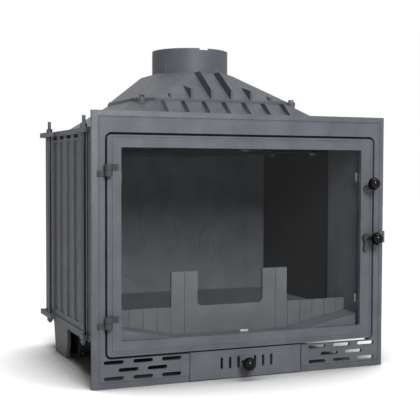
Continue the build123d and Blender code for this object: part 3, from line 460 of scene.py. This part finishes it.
castings = {
    "facade_frame": 1.0, "door_frame": 0.8, "lower_hood": 1.6, "upper_hood": 1.6, "flue_collar": 1.2,
    "side_panel_left": 1.5, "side_panel_right": 1.5, "back_panel": 1.5, "firebox_front": 1.2,
    "hearth_base": 1.5, "rear_foot_left": 1.5, "rear_foot_right": 1.5,
    "log_guard": 1.5, "fire_grate": 1.2, "smoke_baffle": 1.2, "ash_drawer_front": 0.6,
    "hinge_bracket_lower": 0.7, "hinge_bracket_upper": 0.7, "hinge_leaf_lower": 0.7,
    "hinge_leaf_upper": 0.7, "latch_lever": 0.8, "latch_keeper": 0.8,
}
for node, radius in castings.items():
    piece = rounded(node + "_cast", radius, node)
    print(piece.name, "triangles:", triangles(piece))

# Faces of the side walls that look into the fire, and the baffle, get a darker paint: painted shade inside
# the chamber.
MOSTLY_SIDEWAYS = 0.5          # a wall's face, and not its edge
for node in ("side_panel_left", "side_panel_right"):
    wall = bpy.data.objects[node + "_cast"].data
    wall.materials.append(finish["chamber_wall"])
    for face in wall.polygons:
        face.material_index = int(face.center.x * face.normal.x < 0 and abs(face.normal.x) > MOSTLY_SIDEWAYS)
    print(node, "faces toward the fire:", sum(face.material_index for face in wall.polygons))
bpy.data.objects["smoke_baffle_cast"].data.materials[0] = finish["chamber_wall"]
for node in castings:
    if node.startswith("hinge_") or node == "latch_lever":
        bpy.data.objects[node + "_cast"].data.materials[0] = finish["hinge_paint"]

# %% [markdown]
# ## Small pieces with softened edges
# Clips, rods, pins, stems and the sheet-steel boxes are cut or turned, so their edges are broken
# by a fraction of a millimetre only. The same helper does it, with a smaller radius for each.

# %% Rounded small pieces
small_pieces = {
    "glass_clips": 0.35, "tie_rods": 0.6, "door_pull_stem": 0.6, "latch_pivot": 0.5,
    "register_stem": 0.4, "hinge_pins": 0.6, "hinge_washers": 0.25, "door_glass": 0.6,
    "ash_pan": 0.4, "ash_box": 0.4, "air_register": 0.3, "register_guides": 0.3,
}
for node, radius in small_pieces.items():
    piece = rounded(node + "_edged", radius, node)
    print(piece.name, "triangles:", triangles(piece))

# Clips in the shade of the hinge side and of the top rail take the darker blackened-steel finish: painted
# shade.
clips = bpy.data.objects["glass_clips_edged"]
clips.data.materials.append(finish["dark_steel"])
SHADED_LEVEL, SHADED_SIDE = 0.47, -0.20
for face in clips.data.polygons:
    face.material_index = int(face.center.z > SHADED_LEVEL or face.center.x < SHADED_SIDE)
print("clip faces in painted shade:", sum(face.material_index for face in clips.data.polygons))

# %% [markdown]
# ## Ball knobs
# Three balls of black thermoset move the door's pull, the latch and the air slide. Each is
# moulded in two halves round a steel insert, so it isn't a bare sphere: it has a flat seat where
# it meets its stem and a fine line where the halves met. A sphere primitive has neither. A
# profile turned round the stem's own line has both, and it is round to the eye at any size.

# %% Turned balls
TURN_STEPS = 72
PROFILE_STEPS = 48
SEAM_HEIGHT = 0.10 * MM
SEAM_HALF_ANGLE = radians(1.6)
SEAT_RADIUS = 6.0 * MM
SEAT_HOLLOW = 0.4 * MM         # dish in the seat round the insert
SEAT_RIM, DISH_RIM = 0.94, 0.80    # shares of the seat's radius
SEAT_STEP = 0.05 * MM          # rim of the seat above its edge
SAME_POLE = 0.002 * MM         # copies of the profile's ends, which meet on its axis


def turned_ball(name, node, foot=None):
    """Ball with a flat seat that faces the foot of its stem."""
    low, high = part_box(node)
    ball = (high.x - low.x) / 2
    centre = Vector(((low.x + high.x) / 2, low.y + ball, (low.z + high.z) / 2))
    toward = (foot - centre) if foot else Vector((0, 1, 0))
    last = pi - asin(SEAT_RADIUS / ball)
    profile = []
    for step in range(PROFILE_STEPS + 1):
        angle = last * step / PROFILE_STEPS
        reach = ball - SEAM_HEIGHT + SEAM_HEIGHT * exp(-((angle - pi / 2) / SEAM_HALF_ANGLE) ** 2)
        profile.append((reach * sin(angle), -reach * cos(angle)))
    seat = profile[-1][1]
    profile += [(SEAT_RADIUS * SEAT_RIM, seat + SEAT_STEP), (SEAT_RADIUS * DISH_RIM, seat - SEAT_HOLLOW),
                (0, seat - SEAT_HOLLOW)]
    shape = bmesh.new()
    chain = [shape.verts.new((across, 0, along)) for across, along in profile]
    edges = [shape.edges.new(pair) for pair in zip(chain, chain[1:])]
    bmesh.ops.spin(shape, geom=chain + edges, cent=(0, 0, 0), axis=(0, 0, 1), angle=2 * pi,
                   steps=TURN_STEPS)
    bmesh.ops.remove_doubles(shape, verts=shape.verts, dist=SAME_POLE)
    bmesh.ops.recalc_face_normals(shape, faces=shape.faces)
    turn = toward.to_track_quat("Z", "Y").to_matrix().to_4x4()
    bmesh.ops.transform(shape, matrix=Matrix.Translation(centre) @ turn, verts=shape.verts)
    obj = as_object(name, shape, finish[slot_of[node]])
    obj.data.shade_smooth()
    obj.data.set_sharp_from_angle(angle=SHARP)
    return place_for(obj, node)


PULL_DISC_RADIUS = 8.0 * MM
stem_low, stem_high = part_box("door_pull_stem")
pull_foot = Vector(((stem_low.x + stem_high.x) / 2, stem_high.y, stem_low.z + PULL_DISC_RADIUS))
for ball in (turned_ball("pull_ball", "door_pull_knob", pull_foot), turned_ball("latch_ball", "latch_knob"),
             turned_ball("air_slide_ball", "register_knob")):
    print(ball.name, "triangles:", triangles(ball))

# %% [markdown]
# ## Trees for what repeats
# Bolts, nuts, screws, threads and the strands of a rope are one shape made many times, which is
# what Geometry Nodes are for. A tree gets its sizes through named inputs, so that one tree makes
# fasteners of every size. It stands its shape on each point of a small base mesh, turned by a
# direction stored on that point, and ends as one real mesh with its material.

# %% Tree helpers
RANDOM_SEED = 7


def geometry_tree(name, sizes):
    """Empty tree with geometry in and out, one input for each size and one for the material."""
    tree = bpy.data.node_groups.new(name, "GeometryNodeTree")
    tree.interface.new_socket("Geometry", in_out="INPUT", socket_type="NodeSocketGeometry")
    for label, value in sizes.items():
        kind = "NodeSocketInt" if isinstance(value, int) else "NodeSocketFloat"
        tree.interface.new_socket(label, in_out="INPUT", socket_type=kind).default_value = value
    tree.interface.new_socket("Material", in_out="INPUT", socket_type="NodeSocketMaterial")
    tree.interface.new_socket("Geometry", in_out="OUTPUT", socket_type="NodeSocketGeometry")
    return tree, tree.nodes.new("NodeGroupInput").outputs


def close_tree(tree, given, made):
    """Real mesh, painted, to the tree's output."""
    real = add(tree, "GeometryNodeRealizeInstances", {0: made})
    painted = add(tree, "GeometryNodeSetMaterial", {"Geometry": real.outputs[0],
                                                    "Material": given["Material"]})
    add(tree, "NodeGroupOutput", {"Geometry": painted.outputs[0]})
    return tree


def lifted(tree, geometry, height):
    """The geometry, moved along Z."""
    way = add(tree, "ShaderNodeCombineXYZ", {"Z": height})
    moved = add(tree, "GeometryNodeTransform", {"Geometry": geometry, "Translation": way.outputs[0]})
    return moved.outputs[0]


def stood_on_points(tree, given, shape):
    """One copy of the shape on each point, its Z along the stored way, turned at random."""
    way = add(tree, "GeometryNodeInputNamedAttribute", {"Name": "way"}, data_type="FLOAT_VECTOR")
    upright = add(tree, "FunctionNodeAlignRotationToVector", {"Vector": way.outputs[0]}, axis="Z")
    chance = add(tree, "FunctionNodeRandomValue", {2: 0.0, 3: 2 * pi, 8: RANDOM_SEED}, data_type="FLOAT")
    spin = add(tree, "FunctionNodeAxisAngleToRotation", {"Axis": (0, 0, 1), "Angle": chance.outputs[1]})
    turned = add(tree, "FunctionNodeRotateRotation", {0: upright.outputs[0], 1: spin.outputs[0]},
                 rotation_space="LOCAL")
    return add(tree, "GeometryNodeInstanceOnPoints", {"Points": given["Geometry"], "Instance": shape,
                                                      "Rotation": turned.outputs[0]}).outputs[0]


def grow(name, tree, points, material, sizes, ways=(), edges=()):
    """Runs a tree on a small base mesh and keeps the plain mesh that it makes."""
    base = bpy.data.meshes.new(name)
    base.from_pydata(points, edges, [])
    if ways:
        stored = base.attributes.new("way", "FLOAT_VECTOR", "POINT")
        for value, way in zip(stored.data, ways):
            value.vector = way
    obj = bpy.data.objects.new(name, base)
    bpy.context.scene.collection.objects.link(obj)
    modifier = obj.modifiers.new(tree.name, "NODES")
    modifier.node_group = tree
    for item in tree.interface.items_tree:
        if item.in_out == "INPUT" and item.name in sizes:
            modifier[item.identifier] = sizes[item.name]
        elif item.in_out == "INPUT" and item.name == "Material":
            modifier[item.identifier] = material
    return settle(obj)


def loose_boxes(node):
    """Lowest and highest corner of each separate solid of a node."""
    shape = joined(node)
    left, boxes = set(shape.verts), []
    while left:
        reached = [left.pop()]
        for vertex in reached:
            for edge in vertex.link_edges:
                other = edge.other_vert(vertex)
                if other in left:
                    left.remove(other)
                    reached.append(other)
        spread = list(zip(*(vertex.co for vertex in reached)))
        boxes.append((Vector(map(min, spread)), Vector(map(max, spread))))
    shape.free()
    return sorted(boxes, key=lambda box: tuple(round(v, 5) for v in box[0]))


print("tie rods found:", len(loose_boxes("tie_rods")))

# %% [markdown]
# ## Hexagon bolts and nuts
# The hood is held down by four bolts, the walls are clamped by rods with a nut at each end, and
# the feet hang from four more bolts. A rolled or turned hexagon has its six corners cut by a
# cone. A modelled cut needs six curved edges, but where a prism and a cone overlap they come by
# themselves, so a Boolean is the short way. Each stands on a washer.

# %% Hexagon tree
WASHER = 1.4 * MM
CONE_SPREAD = 1.732            # a cone of thirty degrees to the flat end
tree, given = geometry_tree("hexagon_on_washer", {"Corner Radius": 0.0065, "Height": 0.006, "Washer": WASHER})
corner_radius, washer_height = given["Corner Radius"], given["Washer"]
nut = add(tree, "ShaderNodeMath", {0: given["Height"], 1: washer_height}, operation="SUBTRACT").outputs[0]
prism = add(tree, "GeometryNodeMeshCylinder", {"Vertices": 6, "Radius": corner_radius, "Depth": nut})
flat_radius = add(tree, "ShaderNodeMath", {0: corner_radius, 1: cos(pi / 6)}, operation="MULTIPLY").outputs[0]
cone_foot = add(tree, "ShaderNodeMath", {0: nut, 1: CONE_SPREAD, 2: flat_radius}, operation="MULTIPLY_ADD")
cone = add(tree, "GeometryNodeMeshCone", {"Vertices": 48, "Radius Top": flat_radius,
                                          "Radius Bottom": cone_foot.outputs[0], "Depth": nut})
half_down = add(tree, "ShaderNodeMath", {0: nut, 1: -0.5}, operation="MULTIPLY").outputs[0]
hexagon = add(tree, "GeometryNodeMeshBoolean", {1: prism.outputs[0]}, operation="INTERSECT", solver="EXACT")
tree.links.new(lifted(tree, cone.outputs[0], half_down), hexagon.inputs[1])
washer = add(tree, "GeometryNodeMeshCylinder", {"Vertices": 32, "Radius": corner_radius,
                                                "Depth": washer_height})
half_up = add(tree, "ShaderNodeMath", {0: washer_height, 1: 0.5}, operation="MULTIPLY").outputs[0]
pair = add(tree, "GeometryNodeJoinGeometry", {0: lifted(tree, hexagon.outputs[0], half_up)})
tree.links.new(lifted(tree, washer.outputs[0], half_down), pair.inputs[0])
hexagon_tree = close_tree(tree, given, stood_on_points(tree, given, pair.outputs[0]))

# %% Bolts and nuts
MIDDLE_LEVEL = 0.3             # nuts above it are screwed on from above, the others from below


def hexagons(name, node):
    """A hexagon in the place of each solid of the node."""
    boxes = loose_boxes(node)
    points = [(low + high) / 2 for low, high in boxes]
    ways = [(0, 0, 1 if point.z > MIDDLE_LEVEL else -1) for point in points]
    low, high = boxes[0]
    sizes = {"Corner Radius": max(high.x - low.x, high.y - low.y) / 2, "Height": high.z - low.z}
    obj = grow(name, hexagon_tree, points, finish[slot_of[node]], sizes, ways)
    print(name, "pieces:", len(points), "triangles:", triangles(obj))
    return place_for(obj, node)


hexagons("hood_bolt_heads", "hood_bolts")
hexagons("rod_nuts", "tie_rod_nuts")
hexagons("foot_bolt_heads", "foot_bolts")

# %% [markdown]
# ## Rod threads
# The tie rods are threaded at both ends. A thread is a ridge wound at a steady pitch, so a spiral
# that carries a small triangle is a true one, and it costs little: only the last few centimetres
# of a rod are cut.

# %% Threads on the rod ends
THREAD_PITCH = 1.25 * MM
THREAD_RIDGE = 0.5 * MM
THREAD_LENGTH = 24.0 * MM
ROD_END = 1.2 * MM             # plain chamfered tip
ROD_SINK = 0.35 * MM           # ridge let into the rod, so that its tip stands where the rod's skin is
tree, given = geometry_tree("thread", {"Rod Radius": 0.004, "Length": THREAD_LENGTH, "Pitch": THREAD_PITCH})
windings = add(tree, "ShaderNodeMath", {0: given["Length"], 1: given["Pitch"]}, operation="DIVIDE")
helix = add(tree, "GeometryNodeCurveSpiral", {"Resolution": 20, "Rotations": windings.outputs[0],
                                              "Start Radius": given["Rod Radius"],
                                              "End Radius": given["Rod Radius"], "Height": given["Length"]})
ridge = add(tree, "GeometryNodeCurvePrimitiveCircle", {"Resolution": 3, "Radius": THREAD_RIDGE})
wound = add(tree, "GeometryNodeCurveToMesh", {"Curve": helix.outputs[0], "Profile Curve": ridge.outputs[0],
                                              "Fill Caps": True})
thread_tree = close_tree(tree, given, stood_on_points(tree, given, wound.outputs[0]))

rods = loose_boxes("tie_rods")
ends = []
for low, high in rods:
    middle = (low + high) / 2
    starts = (low.z + ROD_END, high.z - ROD_END - THREAD_LENGTH)
    ends += [(middle.x, middle.y, start) for start in starts]
rod_radius = (rods[0][1].x - rods[0][0].x) / 2
threads = grow("rod_threads", thread_tree, ends, finish["dark_steel"],
               {"Rod Radius": rod_radius - ROD_SINK}, [(0, 0, 1)] * len(ends))
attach(threads, body_of("tie_rods"))
print("rod ends threaded:", len(ends), "triangles:", triangles(threads))

# %% [markdown]
# ## Slotted screws
# The clips, the ash pan and the hinges are held by cheese-headed screws with one slot. A head is
# a low cone with a box taken out of it. Each is turned to where the screwdriver left it.

# %% Screws
CROWN_SHARE = 0.82             # head's flat top, of its radius
SLOT_LENGTH_SHARE = 2.4        # of the radius, so that the slot runs out at both sides
SLOT_WIDTH_SHARE = 0.26
SLOT_DEPTH_SHARE = 0.5
tree, given = geometry_tree("slotted_head", {"Head Radius": 0.0022, "Height": 0.0018})
head_radius, head_height = given["Head Radius"], given["Height"]
crown = add(tree, "ShaderNodeMath", {0: head_radius, 1: CROWN_SHARE}, operation="MULTIPLY")
head = add(tree, "GeometryNodeMeshCone", {"Vertices": 32, "Radius Top": crown.outputs[0],
                                          "Radius Bottom": head_radius, "Depth": head_height})
length = add(tree, "ShaderNodeMath", {0: head_radius, 1: SLOT_LENGTH_SHARE}, operation="MULTIPLY")
breadth = add(tree, "ShaderNodeMath", {0: head_radius, 1: SLOT_WIDTH_SHARE}, operation="MULTIPLY")
depth = add(tree, "ShaderNodeMath", {0: head_height, 1: 2 * SLOT_DEPTH_SHARE}, operation="MULTIPLY")
slot_size = add(tree, "ShaderNodeCombineXYZ", {"X": length.outputs[0], "Y": breadth.outputs[0],
                                               "Z": depth.outputs[0]})
slot = add(tree, "GeometryNodeMeshCube", {"Size": slot_size.outputs[0]})
slot_on_top = lifted(tree, slot.outputs[0], head_height)
cut = add(tree, "GeometryNodeMeshBoolean", {0: head.outputs[0], 1: slot_on_top},
          operation="DIFFERENCE", solver="EXACT")
half_height = add(tree, "ShaderNodeMath", {0: head_height, 1: -0.5}, operation="MULTIPLY")
centred = lifted(tree, cut.outputs[0], half_height.outputs[0])
screw_tree = close_tree(tree, given, stood_on_points(tree, given, centred))


def screws(name, node, way, coat=None):
    """A slotted head in the place of each solid of the node, bare or under a coat of paint."""
    boxes = loose_boxes(node)
    low, high = boxes[0]
    sizes = {"Head Radius": (high.x - low.x) / 2, "Height": high.y - low.y}
    points = [(low + high) / 2 for low, high in boxes]
    obj = grow(name, screw_tree, points, finish[coat or slot_of[node]], sizes, [way] * len(boxes))
    print(name, "pieces:", len(boxes), "triangles:", triangles(obj))
    return place_for(obj, node)


INTO_THE_FIRE, TOWARD_THE_ROOM = (0, 1, 0), (0, -1, 0)
screws("clip_screw_heads", "clip_screws", INTO_THE_FIRE)
screws("pan_screw_heads", "pan_screws", INTO_THE_FIRE)
screws("bracket_screw_heads", "hinge_frame_screws", TOWARD_THE_ROOM, "hinge_paint")   # sprayed over
screws("leaf_screw_heads", "hinge_leaf_screws", TOWARD_THE_ROOM, "hinge_paint")

# %% [markdown]
# ## Door rope
# A rope of glass fibre lies in the channel behind the door's edge, and it is what makes the door
# tight. It is laid from six strands. Six wound tubes would hide most of their faces inside each
# other, so one lobed outline is swept round the door and twisted as it goes. The twist over the
# whole loop is a whole number of turns, so its two ends meet strand to strand.

# %% Laid rope
STRANDS = 6
LOBE_SHARE = 0.17              # how deep the valleys between the strands are
LAY_MM = 19.0                  # length in which a strand goes once round
BEND_RADIUS = 5.85 * MM        # rope's middle line at a corner of the door
BEND_POINTS = 8
ROPE_STEP = 2.0 * MM           # from one ring of the sweep to the next
POINTS_PER_STRAND = 6
rope_low, rope_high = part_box("door_gasket")
rope_radius = (rope_high.y - rope_low.y) / 2
width = rope_high.x - rope_low.x - 2 * rope_radius
height = rope_high.z - rope_low.z - 2 * rope_radius
loop_length = 2 * (width + height) - 8 * BEND_RADIUS + 2 * pi * BEND_RADIUS
turns = round(loop_length / (LAY_MM * MM))

rope_sizes = {"Width": width, "Height": height, "Rope Radius": rope_radius, "Turns": turns}
tree, given = geometry_tree("laid_rope", rope_sizes)
frame_line = add(tree, "GeometryNodeCurvePrimitiveQuadrilateral", {"Width": given["Width"],
                                                                   "Height": given["Height"]})
bent = add(tree, "GeometryNodeFilletCurve", {"Curve": frame_line.outputs[0], "Count": BEND_POINTS,
                                             "Radius": BEND_RADIUS}, mode="POLY")
even = add(tree, "GeometryNodeResampleCurve", {"Curve": bent.outputs[0], "Length": ROPE_STEP}, mode="LENGTH")
along = add(tree, "GeometryNodeSplineParameter")
full_twist = add(tree, "ShaderNodeMath", {0: given["Turns"], 1: 2 * pi}, operation="MULTIPLY")
twist = add(tree, "ShaderNodeMath", {0: along.outputs["Factor"], 1: full_twist.outputs[0]},
            operation="MULTIPLY")
twisted = add(tree, "GeometryNodeSetCurveTilt", {"Curve": even.outputs[0], "Tilt": twist.outputs[0]})
ring = add(tree, "GeometryNodeCurvePrimitiveCircle", {"Resolution": POINTS_PER_STRAND * STRANDS,
                                                      "Radius": 1.0})
place = add(tree, "GeometryNodeInputPosition").outputs[0]
spot = add(tree, "ShaderNodeSeparateXYZ", {0: place})
bearing = add(tree, "ShaderNodeMath", {0: spot.outputs[1], 1: spot.outputs[0]}, operation="ARCTAN2")
lobe = add(tree, "ShaderNodeMath", {0: bearing.outputs[0], 1: STRANDS / 2}, operation="MULTIPLY")
wave = add(tree, "ShaderNodeMath", {0: lobe.outputs[0]}, operation="COSINE")
swell = add(tree, "ShaderNodeMath", {0: wave.outputs[0]}, operation="ABSOLUTE")
reach = add(tree, "ShaderNodeMath", {0: swell.outputs[0], 1: LOBE_SHARE, 2: 1 - LOBE_SHARE},
            operation="MULTIPLY_ADD")
strand_reach = add(tree, "ShaderNodeMath", {0: reach.outputs[0], 1: given["Rope Radius"]},
                   operation="MULTIPLY")
lobed = add(tree, "ShaderNodeVectorMath", {0: place, "Scale": strand_reach.outputs[0]}, operation="SCALE")
outline = add(tree, "GeometryNodeSetPosition", {"Geometry": ring.outputs[0], "Position": lobed.outputs[0]})
rope = add(tree, "GeometryNodeCurveToMesh", {"Curve": twisted.outputs[0],
                                             "Profile Curve": outline.outputs[0]})
smooth = add(tree, "GeometryNodeSetShadeSmooth", {0: rope.outputs[0]})
quarter = add(tree, "FunctionNodeAxisAngleToRotation", {"Axis": (1, 0, 0), "Angle": pi / 2})
hung = add(tree, "GeometryNodeInstanceOnPoints", {"Points": given["Geometry"], "Instance": smooth.outputs[0],
                                                  "Rotation": quarter.outputs[0]})
rope_tree = close_tree(tree, given, hung.outputs[0])
rope_piece = grow("door_rope", rope_tree, [(rope_low + rope_high) / 2], finish[slot_of["door_gasket"]],
                  rope_sizes)
place_for(rope_piece, "door_gasket")
print("rope in mm:", round(loop_length / MM), "turns:", turns, "triangles:", triangles(rope_piece))

# %% [markdown]
# ## Fireback with a flame
# The back of the fire chamber is lined with a cast plate, and a founder carves its mould with a
# simple flame in raised lines. Seven free curves are enough for it. Each is given by its ends and
# two handles, as a draughtsman would pull it, and a tree sweeps one half-round bead along them.

# %% Plate and flame
FLAME_STROKES = (              # millimetres right of the middle and above the plate's foot
    ((-62, 30), (-150, 62), (-166, 100), (-148, 140)),
    ((-112, 124), (-94, 152), (-112, 176), (-104, 202)),
    ((-51, 128), (-82, 200), (-66, 276), (28, 282)),
    ((42, 114), (50, 208), (-16, 244), (26, 318)),
    ((50, 132), (66, 142), (82, 156), (104, 158)),
    ((107, 120), (106, 152), (112, 168), (130, 186)),
    ((62, 30), (140, 52), (166, 92), (148, 138)),
)
STROKE_STEPS = 24
BEAD_RADIUS = 2.4 * MM
BEAD_STANDS = 1.7 * MM         # bead's ridge in front of the plate
PLATE_CORNER = 6.0 * MM
PLATE_RIM = 2.5 * MM           # rounding of the front face's rim
plate_low, plate_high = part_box("fireback")
plate = bmesh.new()
bmesh.ops.create_cube(plate, size=1.0)
bmesh.ops.transform(plate, verts=plate.verts, matrix=Matrix.LocRotScale(
    (plate_low + plate_high) / 2, None, plate_high - plate_low))
corners = [edge for edge in plate.edges if abs((edge.verts[0].co - edge.verts[1].co).y) > 1 * MM]
bmesh.ops.bevel(plate, geom=corners, offset=PLATE_CORNER, offset_type="OFFSET", segments=6,
                profile=0.5, affect="EDGES")
front_y = plate_low.y
rim = [edge for edge in plate.edges
       if all(abs(vertex.co.y - front_y) < SAME_POINT for vertex in edge.verts)]
bmesh.ops.bevel(plate, geom=rim, offset=PLATE_RIM, offset_type="OFFSET", segments=3, profile=0.5,
                affect="EDGES")
plate_piece = as_object("fireback_plate", plate, finish[slot_of["fireback"]])
place_for(plate_piece, "fireback")

points, edges = [], []
for stroke in FLAME_STROKES:
    pulled = [Vector((x * MM, front_y, plate_low.z + z * MM)) for x, z in stroke]
    line = interpolate_bezier(*pulled, STROKE_STEPS)
    edges += [(len(points) + i, len(points) + i + 1) for i in range(STROKE_STEPS - 1)]
    points += line

tree, given = geometry_tree("raised_bead", {"Bead Radius": BEAD_RADIUS, "Sink": BEAD_RADIUS - BEAD_STANDS})
drawn = add(tree, "GeometryNodeMeshToCurve", {0: given["Geometry"]})
section = add(tree, "GeometryNodeCurvePrimitiveCircle", {"Resolution": 12, "Radius": given["Bead Radius"]})
bead = add(tree, "GeometryNodeCurveToMesh", {"Curve": drawn.outputs[0], "Profile Curve": section.outputs[0],
                                             "Fill Caps": True})
into_plate = add(tree, "ShaderNodeCombineXYZ", {"Y": given["Sink"]})
sunk = add(tree, "GeometryNodeSetPosition", {"Geometry": bead.outputs[0], "Offset": into_plate.outputs[0]})
round_bead = add(tree, "GeometryNodeSetShadeSmooth", {0: sunk.outputs[0]})
bead_tree = close_tree(tree, given, round_bead.outputs[0])
flame = grow("fireback_flame", bead_tree, points, finish[slot_of["fireback"]], {}, edges=edges)
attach(flame, body_of("fireback"))
print("flame strokes:", len(FLAME_STROKES), "triangles:", triangles(flame))

# %% [markdown]
# ## What stays as CAD gives it
# The tape under the glass is cut from flat strip, and its edges are really sharp, so it needs no
# new mesh. It keeps its own solid and only takes the finish of its material.

# %% Finish for every other node
for name, node in frame["nodes"].items():
    if not node.hide_render:
        for used in node.material_slots:
            used.material = finish[slot_of[name]]

# %% Measure the visual box
low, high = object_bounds()
print("visual box in metres:", [round(v, 4) for v in low], [round(v, 4) for v in high])
